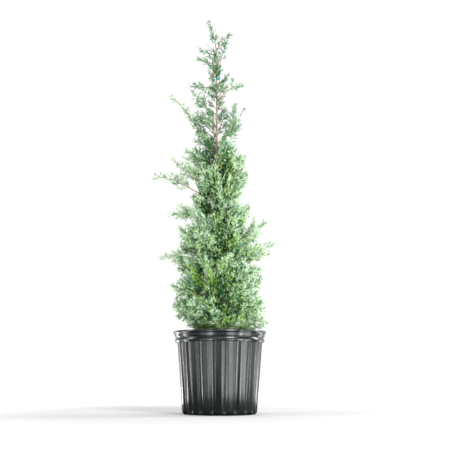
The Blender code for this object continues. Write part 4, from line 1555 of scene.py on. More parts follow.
def spikes(shoots: Shoots, order: Order, stout: Array, dice: Dice) -> tuple[Array, Array]:
    """Three-sided spikes along shoots, pointed at both ends.

    Args:
        shoots: The lines that they follow.
        order: Their radius and profile.
        stout: Each one's own factor on the radius.
        dice: The source of chance.

    Returns:
        Points as spikes by points by three, and the triangles of one spike.
    """
    count = len(shoots.length)
    first = square_to(shoots.along, dice.uniform(0, 2 * math.pi, count))
    second = np.cross(shoots.along, first)
    width = order.radius * (stout * dice.uniform(*order.widths, count))[:, None]
    turns = [2 * math.pi * k / 3 for k in range(3)]
    points = [shoots.at(np.zeros(count))]
    for share, wide in order.profile:
        centre = shoots.at(np.full(count, share))
        points += [centre + wide * width * (math.cos(t) * first + math.sin(t) * second) for t in turns]
    points.append(shoots.at(np.ones(count)))
    last = 3 * len(order.profile) - 2
    triangles = []
    for k in range(3):
        after = (k + 1) % 3
        triangles += [(0, 1 + after, 1 + k), (last + k, last + after, last + 3)]
        for low in range(1, last, 3):
            a, b = low + k, low + after
            triangles += [(a, b, b + 3), (a, b + 3, a + 3)]
    return np.stack(points, axis=1), np.array(triangles)


def tubes(paths: Array, radii: Array, sides: int) -> tuple[Array, Array]:
    """Round tapering tubes of equal point count.

    Args:
        paths: Tubes by rings by three.
        radii: Tubes by rings.
        sides: How many sides each has.

    Returns:
        Points as tubes by points by three, and the triangles of one tube.
    """
    along = unit(np.gradient(paths, axis=1))
    side = square_to(along[:, 0], np.zeros(len(paths)))
    turns = [2 * math.pi * k / sides for k in range(sides)]
    points = []
    for i in range(paths.shape[1]):
        side = unit(side - (side * along[:, i]).sum(axis=1, keepdims=True) * along[:, i])
        across, wide = np.cross(along[:, i], side), radii[:, i, None]
        points += [paths[:, i] + wide * (math.cos(t) * side + math.sin(t) * across) for t in turns]
    points.append(paths[:, -1] + radii[:, -1, None] * along[:, -1])
    triangles = []
    last = sides * (paths.shape[1] - 1)
    for low in range(0, last, sides):
        for k in range(sides):
            a, b = low + k, low + (k + 1) % sides
            triangles += [(a, b, b + sides), (a, b + sides, a + sides)]
    triangles += [(last + k, last + (k + 1) % sides, last + sides) for k in range(sides)]
    return np.stack(points, axis=1), np.array(triangles)


@dataclass(frozen=True)
class Dealing:
    """How tints are dealt out: by how far out growth stands, by its spray's mood and by chance.

    Heights are in metres. How far out is told as a share of the crown's radius, measured from the
    trunk. Growth further in is dealt darker tints: partly the inner foliage's own darker green, partly
    painted shade of the crown's dense middle.
    """

    # Growth turns paler between two heights, and partly so between two shares out.
    pale_heights: Pair = (0.70, 0.96)
    pale_beyond: Pair = (1.10, 1.35)
    pale_beyond_share: float = 0.7
    # From how far out it has the outer tints, what being pale adds to that, and what chance does.
    edge: tuple[float, float, float] = (0.80, 0.35, 0.15)
    # What standing at its twig's tip adds to a shoot's lightness, and what chance does.
    light: Pair = (0.40, 0.20)
    # The lightness over which it has bloom outside and light green inside, and the rise where pale.
    bloom_over: Pair = (1.14, 0.26)
    bright_over: Pair = (0.76, 0.20)
    # As pale sets in, this share of the outer growth is dealt deep green: painted shade that darkens the
    # sparse, fully lit top and edge.
    outer_deep: float = 0.22
    # The hue's play, what is added to it at the crown's foot and taken off it near the top, and
    # the values over which it is yellow-green and under which it is emerald, inside and outside.
    hue_play: float = 0.12
    foot_heights: Pair = (0.250, 0.285)
    foot_hue: float = 0.26
    top_heights: Pair = (0.96, 1.04)
    top_hue: float = 0.25
    fresh_over: float = 0.27
    teal_under: Pair = (-0.20, -0.30)
    # Some of the innermost growth below a height is spent.
    spent_within: float = 0.20
    spent_below: float = 0.9
    spent_share: float = 0.20
    # From where on a shoot its cords may turn paler, how many do, and how many fewer higher up.
    paler_from: float = 0.45
    paler_share: Pair = (0.40, 0.25)
    paler_heights: Pair = (0.80, 0.90)

    def tints(self, heights: Array, out: Array, share: Array, moods: Array, dice: Dice) -> Array:
        """Deal out a tint to each shoot.

        Args:
            heights: The height of each shoot's middle.
            out: How far out it is.
            share: How far along its twig each one stands.
            moods: How light and how fresh the spray that each belongs to is, in two columns.
            dice: The source of chance.

        Returns:
            The tints' numbers in their own order.
        """
        number, size, (edge_from, inwards, chance) = TINTS.index, len(share), self.edge
        pale = self.pale_beyond_share * smoothstep(*self.pale_beyond, out)
        pale = np.maximum(smoothstep(*self.pale_heights, heights), pale)
        edge = out + inwards * pale + moods[:, 0] + dice.normal(0, chance, size) > edge_from
        # Lightness grows with how far out growth stands: partly the paler outer growth, partly painted shade
        # that darkens the crown's dense middle.
        light = out + self.light[0] * share + moods[:, 0] + dice.normal(0, self.light[1], size)
        level, more = self.bloom_over
        outer = np.where(light > level + more * pale, number(Tint.BLOOM), number(Tint.SAGE))
        # Painted shade: some outer growth where pale is dealt deep green.
        outer = np.where(dice.random(size) < self.outer_deep * pale, number(Tint.DEEP), outer)
        level, more = self.bright_over
        inner = np.where(light > level + more * pale, number(Tint.BRIGHT), number(Tint.DEEP))
        foot = 1 - smoothstep(*self.foot_heights, heights)
        hue = moods[:, 1] + dice.normal(0, self.hue_play, size) + self.foot_hue * foot
        hue -= self.top_hue * smoothstep(*self.top_heights, heights)
        inner = np.where(hue > self.fresh_over, number(Tint.FRESH), inner)
        inner = np.where(hue < self.teal_under[0], number(Tint.TEAL), inner)
        outer = np.where(hue < self.teal_under[1], number(Tint.TEAL), outer)
        spent = (out < self.spent_within) & (heights < self.spent_below)
        spent &= dice.random(size) < self.spent_share
        return np.where(spent, number(Tint.SPENT), np.where(edge, outer, inner))

    def paler(self, tints: Array, spot: Array, heights: Array, dice: Dice) -> Array:
        """Turn some cords near their shoots' tips paler.

        Args:
            tints: The number of the tint of each one's shoot.
            spot: How far along its shoot each stands.
            heights: The height of each.
            dice: The source of chance.

        Returns:
            The tints' numbers.
        """
        most, fewer = self.paler_share
        share = most - fewer * smoothstep(*self.paler_heights, heights)
        turned, made = (spot > self.paler_from) & (dice.random(len(spot)) < share), tints.copy()
        for before, after in PALER:
            made[turned & (tints == TINTS.index(before))] = TINTS.index(after)
        return made


@dataclass
class Crown:
    """All that grows on the trunk: boughs, stems, twigs and the cords of scale leaves."""

    skeleton: Skeleton
    dealing: Dealing = Dealing()
    # The side branches along a limb: where the first stands, on an open limb too and at most as a
    # share of its leafy part, how far the last keeps from its tip, their spacing, how much closer
    # it is at the tip, the factor on it, and how far chance turns each round the limb.
    first: float = 0.006
    first_open: float = 0.027
    first_share: float = 0.3
    last: float = 0.006
    step: float = 0.0068
    closer: float = 0.25
    step_play: Pair = (0.85, 1.15)
    turn_play: float = 18.0
    high_step: float = 0.90
    beyond_step: float = 0.72
    leader_step: float = 0.60
    # Their length, how it falls along the limb, its play, and its bounds by the room left to the
    # tip and by the crown's radius.
    lateral: float = 0.088
    lateral_fall: Pair = (0.74, 1.2)
    lateral_play: Pair = (0.6, 1.22)
    tip_spread: float = 0.010
    tip_taper: float = 0.60
    tip_taper_beyond: float = 0.21
    beyond: float = 0.9
    height_base: float = 0.008
    height_share: float = 0.62
    least: float = 0.010
    # The limbs whose side branches are shorter, and the factor on them.
    slender: tuple[tuple[str, float], ...] = (
        ("second_leader", 0.72), ("leader", 0.88), ("right_9", 0.62), ("right_10", 0.68), ("left_10", 0.80),
    )
    # One in so many is a longer twig. How far each leans, and its play, droop, bend and tries.
    twig_every: int = 4
    twig_extra: float = 0.026
    angle: float = 42.0
    twig_angle: float = 50.0
    angle_play: float = 6.0
    droop_play: float = 0.10
    forward: float = 0.20
    lift: float = 0.10
    swings: tuple[float, ...] = (0.0, 45.0, -45.0)
    test_points: int = 16
    # The limb's own tip carries on as a last side branch: its length, and its most as a share.
    tip: Pair = (0.030, 0.4)
    # The shoots on the trunk itself: height, spacing, and full length.
    trunk_shoots_by_height: tuple[tuple[float, float, float], ...] = (
        (0.224, 0.0015, 0.140),
        (0.270, 0.0036, 0.190),
        (0.740, 0.0042, 0.120),
        (0.800, 0.0085, 0.048),
        (1.000, 0.0070, 0.044),
        (1.040, 0.0032, 0.056),
        (1.140, 0.0042, 0.030),
    )
    # How far they lean out, how much further at the foot and up to what height over it, how they
    # drift aside, and the play of their bend, length and spacing.
    trunk_lean: Pair = (36, 60)
    foot_lean: float = 26.0
    foot_rise: float = 0.05
    drift: float = 0.42
    drift_back: float = 0.5
    trunk_bend: Pair = (0.08, 0.16)
    trunk_length_play: Pair = (0.55, 1.08)
    trunk_step_play: Pair = (0.8, 1.2)
    trunk_sunk: float = 0.0004
    # Beside the second leader the trunk's own shoots are short on the right and long on the left.
    one_sided: Pair = (1.035, 1.150)
    one_sided_from: float = 0.1
    one_sided_lengths: Pair = (0.42, 1.35)
    # The upper crown is open: from and up to which height its limbs are bare at the foot, how much
    # shorter its side branches are and over which heights that sets in, how many of the fine
    # shoots and cords grow at each height and beyond the outline, and how much stouter they are.
    open_from: float = 0.76
    open_to: float = 1.00
    open_share: float = 0.92
    open_softly: Pair = (0.04, 0.08)
    shoots_by_height: tuple[Pair, ...] = (
        (0.46, 1.0), (0.60, 0.91), (0.76, 0.89), (0.82, 0.95), (1.02, 0.98), (1.06, 1.00), (1.12, 0.95),
        (1.26, 0.70),
    )
    shoots_beyond: float = 0.84
    outline_at: Pair = (0.95, 1.15)
    cords_missing: float = 0.34
    cords_missing_over: float = 0.10
    stouter: float = 0.06
    stoutest_at: float = 0.34
    edge_of_shoots: Pair = (0.80, 1.12)
    edge_of_cords: Pair = (0.90, 1.19)
    shoot_sleeve: float = 0.004
    cord_sleeve: float = 0.006
    # Wood and green stalks: radii, sides, the brown share of each, and how far parts overlap.
    stem_radius: float = 0.0014
    stem_tip_radius: float = 0.0006
    stem_sides: Pair = (6, 5)
    stem_steps: int = 10
    stem_brown: float = 0.36
    leader_brown: float = 0.04
    stem_foot: float = 1.15
    stem_on_bough: float = 0.9
    bough_sides: int = 10
    bough_foot: float = 1.12
    bough_collar: float = 0.22
    collar_length: float = 0.004
    sunk: float = 0.003
    overlap: float = 0.002
    wood_step: float = 0.0035
    wood_relief: float = 0.07
    wood_lumps: float = 300.0
    lateral_radius: float = 0.00095
    lateral_sides: int = 4
    lateral_taper: float = 0.55
    # The length of side branch that has the full radius, and the least and most factor on it.
    lateral_widths: tuple[float, float, float] = (0.05, 0.65, 1.15)
    brown_share: float = 0.34
    green_stalk: tuple[float, float, int] = (0.02, 0.97, 4)
    # How many low stalks are of straw, up to how far out, and how many as many twigs are.
    straw_share: float = 0.45
    straw_within: float = 1.1
    straw_twigs: float = 0.5
    stalk_share: float = 0.3
    mood: Pair = (0.16, 0.13)
    twig_mood: Pair = (0.20, 0.12)
    seed: int = 20

    def __post_init__(self) -> None:
        """Find the limbs and the space round them."""
        self.branches = self.skeleton.branches()
        self.space = Space(self.skeleton, self.branches)
        self.dice = np.random.default_rng(self.seed)

    def start_of(self, branch: Branch) -> float:
        """Where a limb's leafy part starts."""
        return branch.bare + self.skeleton.gap if branch.bare else 0.0

    def laterals(self) -> Shoots:
        """Grow the side branches of every limb and of the trunk.

        Returns:
            The side branches.
        """
        rows = []
        for index, branch in enumerate(self.branches):
            if branch.name != "arm":
                rows += self.laterals_of(index, branch)
        return Shoots(*(np.array(column) for column in zip(*rows, *self.trunk_shoots())))

    def wanted(self, branch: Branch, root: Array, left: float, share: float, twig: bool) -> float:
        """Find the length that a side branch would have with all the room it wants.

        Args:
            branch: The limb.
            root: Where it starts.
            left: How much of the limb is left from there.
            share: How far along the limb that is (0 to 1).
            twig: Whether it is one of the longer twigs.

        Returns:
            The length.
        """
        outline = float(self.skeleton.crown_radius(root[2]))
        fall, power = self.lateral_fall
        full = self.lateral * (1 - fall * share**power) * self.dice.uniform(*self.lateral_play)
        full += self.twig_extra * (1 - share) if twig else 0.0
        taper = self.tip_taper_beyond if self.is_beyond(root) else self.tip_taper
        full = min(full, self.tip_spread + taper * left, self.height_base + self.height_share * outline)
        under, over = self.open_softly
        full *= 1 - (1 - self.open_share) * float(
            smoothstep(self.open_from - under, self.open_from + over, root[2])
        )
        return full * dict(self.slender).get(branch.name, 1.0)

    def is_beyond(self, root: Array) -> bool:
        """Whether a side branch starts near the crown's outline or beyond it."""
        return math.hypot(root[0], root[1]) > self.beyond * float(self.skeleton.crown_radius(root[2]))

    def laterals_of(self, index: int, branch: Branch) -> list[tuple]:
        """Grow one limb's side branches, and its own tip as the last of them.

        Args:
            index: The limb's number.
            branch: The limb.

        Returns:
            Root, direction, bend, length and limb of each.
        """
        dice, rows = self.dice, []
        start = self.start_of(branch)
        leafy = branch.length - start
        high = self.open_from < branch.path[0][2] < self.open_to
        distance = min(self.first_open if high else self.first, self.first_share * leafy)
        turn = dice.uniform(0, 2 * math.pi)
        rank = int(dice.integers(self.twig_every))
        while distance < leafy - self.last:
            share, twig = distance / leafy, rank % self.twig_every == 0
            spot = np.array([start + distance])
            root, heading = branch.at(spot)[0], branch.heading(spot)[0]
            full = self.wanted(branch, root, leafy - distance, share, twig)
            angle = self.twig_angle if twig else self.angle
            found = self.fitted(index, root, heading, turn, angle, full)
            if found is not None:
                rows.append((root, *found, index))
            rank += 1
            turn += GOLDEN_ANGLE + math.radians(dice.uniform(-self.turn_play, self.turn_play))
            wide = self.high_step if root[2] > self.open_from else 1.0
            wide = self.leader_step if branch.name == "leader" else wide
            wide *= self.beyond_step if self.is_beyond(root) else 1.0
            distance += wide * self.step * (1 - self.closer * share) * dice.uniform(*self.step_play)
        length, most = self.tip
        root = branch.at(np.array([branch.length - min(length, most * leafy)]))[0]
        run = branch.path[-1] - root
        rows.append((root, unit(run), np.zeros(3), float(np.linalg.norm(run)), index))
        return rows

    def trunk_shoots(self) -> list[tuple]:
        """Grow the short side branches on the trunk between the limbs, fewer towards the top.

        Returns:
            Root, direction, bend, length and limb, which is -1, of each.
        """
        dice, trunk = self.dice, self.skeleton.trunk
        heights, steps, lengths = zip(*self.trunk_shoots_by_height)
        rows, height, turn = [], heights[0], 0.0
        while height < heights[-1]:
            low = 1 - float(smoothstep(heights[0], heights[0] + self.foot_rise, height))
            lean = math.radians(dice.uniform(*self.trunk_lean) + self.foot_lean * low)
            side = np.array((math.cos(turn), math.sin(turn), 0.0))
            across = np.array((-side[1], side[0], 0.0))
            drift = dice.normal(0, self.drift)
            along = unit(math.sin(lean) * (side + drift * across) + math.cos(lean) * UP)
            root = trunk.point(height) + (trunk.thickness(height) - self.trunk_sunk) * side
            outline = float(self.skeleton.crown_radius(height))
            full = min(np.interp(height, heights, lengths), outline / math.sin(lean))
            full *= dice.uniform(*self.trunk_length_play)
            if self.one_sided[0] < height < self.one_sided[1]:
                full *= self.one_sided_lengths[0 if side[0] > self.one_sided_from else 1]
            outwards, upwards = self.trunk_bend
            bend = dice.normal(0, outwards) * side - self.drift_back * drift * across + upwards * UP
            bend = bend - bend.dot(along) * along
            rows.append((root, along, bend, full, -1))
            turn += GOLDEN_ANGLE + math.radians(dice.uniform(-self.turn_play, self.turn_play))
            height += np.interp(height, heights, steps) * dice.uniform(*self.trunk_step_play)
        return rows

    def fitted(
        self, index: int, root: Array, heading: Array, turn: float, angle: float, full: float
    ) -> tuple[Array, Array, float] | None:
        """A side branch that keeps to its limb's space, turned aside or shortened until it fits.

        Args:
            index: The limb's number.
            root: Where it starts.
            heading: The limb's direction there.
            turn: How far round the limb it stands, in radians.
            angle: How far it leans out from the limb, in degrees.
            full: The length that it would have with all the room it wants.

        Returns:
            Its direction, bend and length, or None where it finds no room.
        """
        shares = np.linspace(0, 1, self.test_points + 1)[1:]
        tries, points = [], []
        lean = math.radians(angle + self.dice.uniform(-self.angle_play, self.angle_play))
        droop = self.dice.normal(0.0, self.droop_play)
        for swing in self.swings:
            side = square_to(heading[None], np.array([turn + math.radians(swing)]))[0]
            along = unit(math.cos(lean) * heading + math.sin(lean) * side)
            bend = self.forward * heading + (self.lift + droop) * UP
            bend = bend - bend.dot(along) * along
            tries.append((along, bend))
            points.append(root + full * (shares[:, None] * along + shares[:, None] ** 2 * bend))
        kept = self.space.keeps(index, np.vstack(points)).reshape(len(tries), -1)
        kept[:, 0] = True
        runs = [int(row.argmin()) if not row.all() else len(row) for row in kept]
        best = int(np.argmax(runs))
        share = shares[runs[best] - 1]
        if share * full < self.least:
            return None
        along, bend = tries[best]
        return along, share * bend, share * full

    def depth_of(self, points: Array) -> Array:
        """How far out in the crown points are, as a share of its radius there."""
        return self.space.off_trunk(points) / np.maximum(self.skeleton.crown_radius(points[:, 2]), 0.05)

    def openness(self, points: Array) -> Array:
        """Find how many fine shoots fail to grow: 0 in the full crown, more where it is open.

        Args:
            points: The points, one a row.

        Returns:
            The share that is missing at each.
        """
        grown = np.interp(points[:, 2], *zip(*self.shoots_by_height))
        beyond = smoothstep(*self.outline_at, self.depth_of(points))
        return 1 - grown * (1 - (1 - self.shoots_beyond) * beyond)

    def stoutness(self, shoots: Shoots) -> Array:
        """How much stouter shoots are than their order says, as a factor."""
        return 1 + self.stouter * np.minimum(1, self.openness(shoots.middles()) / self.stoutest_at)

    def grown(self, shoots: Shoots, sleeve: float, edge: Pair) -> Array:
        """Which fine shoots stay in the crown and aren't missing where it is open.

        Args:
            shoots: The shoots.
            sleeve: How far from its limb growth may stand outside the crown.
            edge: The least and greatest factor on the crown's radius, which make its edge ragged.

        Returns:
            True for each shoot that stays.
        """
        count = len(shoots.length)
        ragged = self.dice.uniform(*edge, count)
        missing = self.openness(shoots.middles())
        return self.trimmed(shoots, sleeve, ragged) & (self.dice.random(count) > missing)

    def trimmed(self, shoots: Shoots, sleeve: float, ragged: Array) -> Array:
        """Which fine shoots stay in the crown, clear of wood and pot.

        Args:
            shoots: The shoots.
            sleeve: How far from its limb growth may stand outside the crown.
            ragged: Each one's own factor on the crown's radius.

        Returns:
            True for each shoot that stays.
        """
        kept = np.zeros(len(shoots.length), bool)
        tips = shoots.at(np.ones(len(kept)))
        for index in range(-1, len(self.branches)):
            mine = np.flatnonzero(shoots.limb == index)
            if len(mine):
                nearest = np.full(len(mine), 1.0)
                if index >= 0:
                    nearest = self.space.distances(tips[mine], self.space.owners == index).min(axis=1)
                kept[mine] = self.space.in_crown(tips[mine], nearest, sleeve, ragged[mine])
        return kept & ~self.space.hiding(shoots.middles())

    def tints_of(self, shoots: Shoots, share: Array, moods: Array) -> Array:
        """Deal out a tint to each shoot, by its share along its twig and its spray's moods."""
        middles = shoots.middles()
        return self.dealing.tints(middles[:, 2], self.depth_of(middles), share, moods, self.dice)

    def stalk_tints(self, stalks: Shoots, moods: Array, straw: float) -> Array:
        """Deal out the tints of side branches or twigs, some low ones of straw.

        Args:
            stalks: The side branches or twigs.
            moods: How light and how fresh the spray of each is, in two columns.
            straw: How many of the low ones are of straw.

        Returns:
            The tints' numbers.
        """
        tints = self.tints_of(stalks, np.full(len(stalks.length), self.stalk_share), moods)
        low = (stalks.root[:, 2] < self.open_from) & (self.depth_of(stalks.root) < self.straw_within)
        tints[low & (self.dice.random(len(low)) < straw)] = TINTS.index(Tint.STRAW)
        return tints

    def green_from(self, branch: Branch) -> float:
        """How far along a limb its stem turns green. The leading shoot is green all the way."""
        share = self.leader_brown if branch.name == "leader" else self.stem_brown
        return branch.bare + share * (branch.length - branch.bare)

    def wood(self, laterals: Shoots, nodes: list[str]) -> None:
        """The boughs, the stems inside the masses, and the brown feet of the side branches.

        Args:
            laterals: The side branches.
            nodes: The CAD nodes that the stems stand for.
        """
        boughs, stems = Pieces(), Pieces()
        for branch in self.branches:
            low, foot = -self.sunk, self.stem_radius * self.stem_foot
            if branch.bare:
                radii = (branch.radius * self.bough_foot, branch.bough_radius(branch.bare))
                span = (low, branch.bare + self.overlap)
                self.add_limb(boughs, branch, span, radii, self.bough_sides, self.bough_collar)
                low, foot = branch.bare, self.stem_on_bough * radii[1]
            if branch.name != "arm":
                span, radii = (low, self.green_from(branch)), (foot, self.stem_radius)
                self.add_limb(stems, branch, span, radii, self.stem_sides[0], 0.0)
        bough_nodes = ["bough_" + branch.name for branch in self.branches if branch.bare]
        boughs.build("bough_bark", YoungBark("bough_bark_skin").material(), "bark", bough_nodes)
        stems.add_many(*self.stalks(laterals, 0.0, self.brown_share, 3))
        stems.build("twig_bark", TWIG_BARK.material(), "foliage", nodes)

    def green_stems(self) -> tuple[Array, Array, Array]:
        """Carry on the limbs' stems in green.

        Returns:
            Points as stems by points by three, the triangles of one, and the tints' numbers.
        """
        limbs = [branch for branch in self.branches if branch.name != "arm"]
        ends = [(self.green_from(branch) - self.overlap, branch.length - self.overlap) for branch in limbs]
        paths = [branch.at(np.linspace(*span, self.stem_steps)) for branch, span in zip(limbs, ends)]
        widths = np.linspace(self.stem_radius, self.stem_tip_radius, self.stem_steps)
        radii = np.tile(widths, (len(limbs), 1))
        tints = np.full(len(limbs), TINTS.index(Tint.SAGE))
        return *tubes(np.array(paths), radii, self.stem_sides[1]), tints

    def stalks(self, laterals: Shoots, low: float, high: float, rings: int) -> tuple[Array, Array]:
        """The stalks of side branches between two shares of their length.

        Args:
            laterals: The side branches.
            low: Where the stalks start.
            high: Where they end.
            rings: How many rings each has.

        Returns:
            Points as stalks by points by three, and the triangles of one stalk.
        """
        count, shares = len(laterals.length), np.linspace(low, high, rings)
        paths = np.stack([laterals.at(np.full(count, share)) for share in shares], axis=1)
        full, least, most = self.lateral_widths
        widths = self.lateral_radius * np.clip(laterals.length / full, least, most)[:, None]
        return tubes(paths, widths * (1 - self.lateral_taper * shares)[None], self.lateral_sides)

    def add_limb(
        self, made: Pieces, branch: Branch, span: Pair, radii: Pair, sides: int, collar: float
    ) -> None:
        """Add the wood of one limb between two distances, with a little relief.

        Args:
            made: The pieces that it joins.
            branch: The limb.
            span: Where it starts and ends. Below zero it starts inside the wood that carries it.
            radii: Its radius at its start and at its end.
            sides: How many sides it has.
            collar: How much it swells at its foot, as a share of its radius.
        """
        count = max(6, round((span[1] - span[0]) / self.wood_step))
        spots = np.linspace(*span, count)
        path = branch.at(np.maximum(spots, 0))
        path += np.minimum(spots, 0)[:, None] * branch.heading(np.zeros(1))[0]
        rough = [noise.fractal(Vector(self.wood_lumps * place), 0.8, 2.0, 2) for place in path]
        widths = np.linspace(*radii, count)
        widths *= 1 + collar * np.exp(-np.maximum(spots, 0) / self.collar_length)
        widths *= 1 + self.wood_relief * np.array(rough)
        made.add_many(*tubes(path[None], widths[None], sides))

    def build(self) -> None:
        """Grow everything and join it into pieces, one set for each tint."""
        dice, sleeve = self.dice, self.space.sleeve
        shown = [branch.name for branch in self.branches if not branch.name.startswith("filling")]
        nodes = ["foliage_" + name for name in shown if name != "arm"]
        laterals = self.laterals()
        self.wood(laterals, nodes)
        moods = dice.normal(0, self.mood, (len(laterals.length), 2))
        twigs, parent, _ = branch_out(laterals, TWIG, dice)
        kept = self.trimmed(twigs, sleeve, dice.uniform(*self.edge_of_shoots, len(twigs.length)))
        twigs = twigs.only(kept)
        twig_moods = moods[parent[kept]] + dice.normal(0, self.twig_mood, (len(twigs.length), 2))
        shoots, parent, share = branch_out(laterals.joined(twigs), SHOOT, dice)
        kept = self.grown(shoots, sleeve + self.shoot_sleeve, self.edge_of_shoots)
        shoots, share = shoots.only(kept), share[kept]
        shoot_moods = np.vstack((moods, twig_moods))[parent[kept]]
        cords, parent, spot = branch_out(shoots, CORD, dice)
        kept = self.grown(cords, sleeve + self.cord_sleeve, self.edge_of_cords)
        high = smoothstep(self.open_from, self.open_from + self.cords_missing_over, cords.root[:, 2])
        kept &= dice.random(len(kept)) > self.cords_missing * high
        cords, parent, spot = cords.only(kept), parent[kept], spot[kept]
        LOG.info("%d side branches, %d twigs", len(laterals.length), len(twigs.length))
        LOG.info("%d shoots, %d cords", len(shoots.length), len(cords.length))
        lateral_tints = self.stalk_tints(laterals, moods, self.straw_share)
        twig_tints = self.stalk_tints(twigs, twig_moods, self.straw_twigs * self.straw_share)
        shoot_tints = self.tints_of(shoots, share, shoot_moods)
        cord_tints = self.dealing.paler(shoot_tints[parent], spot, cords.root[:, 2], dice)
        overlap, end, rings = self.green_stalk
        kinds = [self.green_stems()]
        kinds.append((*self.stalks(laterals, self.brown_share - overlap, end, rings), lateral_tints))
        for grown, order, tints in (
            (twigs, TWIG, twig_tints), (shoots, SHOOT, shoot_tints), (cords, CORD, cord_tints)
        ):
            kinds.append((*spikes(grown, order, self.stoutness(grown), dice), tints))
        self.join(kinds, nodes)

    def join(self, kinds: Sequence[tuple[Array, Array, Array]], nodes: list[str]) -> None:
        """Join green growth into pieces, one set for each tint, each set from the foot to the top.

        Args:
            kinds: For each kind of growth its points, the triangles of one shape, and the tints.
            nodes: The CAD nodes that the pieces stand for.
        """
        for number, tint in enumerate(TINTS):
            name, dark, light = tint.value
            finish = ScaleLeaves("scale_leaves_" + name, ((0.36, dark), (0.64, light))).material()
            chosen = [(points[tints == number], triangles) for points, triangles, tints in kinds]
            total = sum(len(points) * len(triangles) for points, triangles in chosen)
            parts = math.ceil(total / MOST_TRIANGLES)
            made = [Pieces() for _ in range(parts)]
            for points, triangles in chosen:
                rising = points[np.argsort(points[:, 0, 2], kind="stable")]
                for pieces, some in zip(made, np.array_split(rising, parts)):
                    pieces.add_many(some, triangles)
            for part, pieces in enumerate(made, 1):
                pieces.build(f"leaves_{name}_{part}", finish, "foliage", nodes)


# The tie

@dataclass
class TieBand:
    """The band of soft tape that holds the second leader to the trunk."""

    trunk: Trunk
    second: Branch
    height: float = 1.041
    width: float = 0.0065
    thickness: float = 0.0008
    slope: float = 0.45
    slack: float = 0.0005
    drop: float = 0.004
    gap: float = 0.0003
    steps: int = 30
    # Its edges crumple by a share of its half width, in waves of so many radians a step.
    crumple: Pair = (0.10, 1.9)
    crease: float = 50.0

    def outline(self, spread: float) -> Array:
        """The taut loop round both stems, seen from above.

        Args:
            spread: How far out of the stems' own skins it runs.

        Returns:
            Points in the plane, one a row.
        """
        first = self.trunk.point(self.height)[:2]
        lifts = np.abs(self.second.path[:, 2] - self.height - self.drop)
        near = self.second.path[int(np.argmin(lifts))][:2]
        radii = (self.trunk.thickness(self.height) + spread, self.second.radius + spread)
        run = near - first
        heading = math.atan2(run[1], run[0])
        lean = math.acos((radii[0] - radii[1]) / float(np.hypot(*run)))
        ends = ((-lean, lean), (lean, 2 * math.pi - lean))
        turns = heading + np.concatenate([np.linspace(*span, self.steps) for span in ends])
        centres = np.repeat(np.stack((near, first)), self.steps, axis=0)
        return centres + np.repeat((radii[1], radii[0]), self.steps)[:, None] * circle(turns)[:, :2]

    def build(self) -> None:
        """Make the band, a little crumpled along both its edges."""
        base = self.gap + self.slack
        inner, outer = self.outline(base), self.outline(base + self.thickness)
        middle = self.trunk.point(self.height)[0]
        share, rate = self.crumple
        rings = []
        faces = ((inner, (-0.5, 0.0, 0.5)), (outer, (0.5, 0.25, 0.0, -0.25, -0.5)), (inner, (-0.5,)))
        for outline, edges in faces:
            lift = self.slope * (outline[:, 0] - middle)
            wide = self.width * (1 + share * np.sin(np.arange(len(outline)) * rate))
            low = self.height - self.drop + lift
            rings += [np.column_stack((outline, low + edge * wide)) for edge in edges]
        made = Pieces()
        made.add(*loft(rings))
        made.build("tie_band", STRETCH_TAPE.material(), "tie_tape", ["tie_tape"], self.crease)


# The studio

@dataclass(frozen=True)
class SoftBox:
    """A soft light that stands round the plant and faces it.

    Azimuth 0 is the viewer's side and 90 the right. A tilt of 0 faces the plant level, and one of
    90 faces up. Angles are in degrees, sizes in metres.
    """

    name: str
    azimuth: float
    away: float
    height: float
    size: Pair
    power: float
    tilt: float
    round_ends: bool = False

    def build(self) -> None:
        """Add the light, out of the picture itself."""
        light = bpy.data.lights.new(self.name, "AREA")
        light.shape = "ELLIPSE" if self.round_ends else "RECTANGLE"
        light.size, light.size_y = self.size
        light.energy = self.power
        box = bpy.data.objects.new(self.name, light)
        turn = math.radians(self.azimuth)
        box.location = (self.away * math.sin(turn), -self.away * math.cos(turn), self.height)
        box.rotation_euler = (math.radians(90 + self.tilt), 0, turn)
        box.visible_camera = False
        bpy.context.scene.collection.objects.link(box)


def low_panel(name: str, azimuth: float, width: float, power: float) -> SoftBox:
    """A long panel that lies nearly flat and points at the pot, for its flutes to mirror."""
    return SoftBox("low_panel_" + name, azimuth, 1.0, 0.124, (width, 1.44), power, 81, round_ends=True)


SOFT_BOXES = (
    SoftBox("soft_box_left", -80, 2.4, 1.2, (0.7, 1.6), 31, -12),
    SoftBox("soft_box_right", 106, 2.4, 1.2, (0.7, 1.6), 52, -12),
    low_panel("behind_left", -129, 0.105, 5.0),
    low_panel("left", -93, 0.105, 5.4),
    low_panel("left_of_lens", -36, 0.22, 1.0),
    low_panel("beside_lens", -21, 0.080, 4.4),
    low_panel("right_of_lens", 27, 0.22, 5.2),
    low_panel("far_right", 51, 0.090, 6.6),
    low_panel("right", 69, 0.26, 5.8),
    low_panel("behind_right", 123, 0.090, 3.0),
    SoftBox("front_fill", 0, 3.0, 1.3, (2.6, 1.0), 19, -12),
    SoftBox("key_right_of_lens", 30, 3.2, 2.1, (1.0, 1.2), 121, -22),
    SoftBox("overhead", 0, -0.4, 2.9, (3.6, 3.6), 82, -90),
)


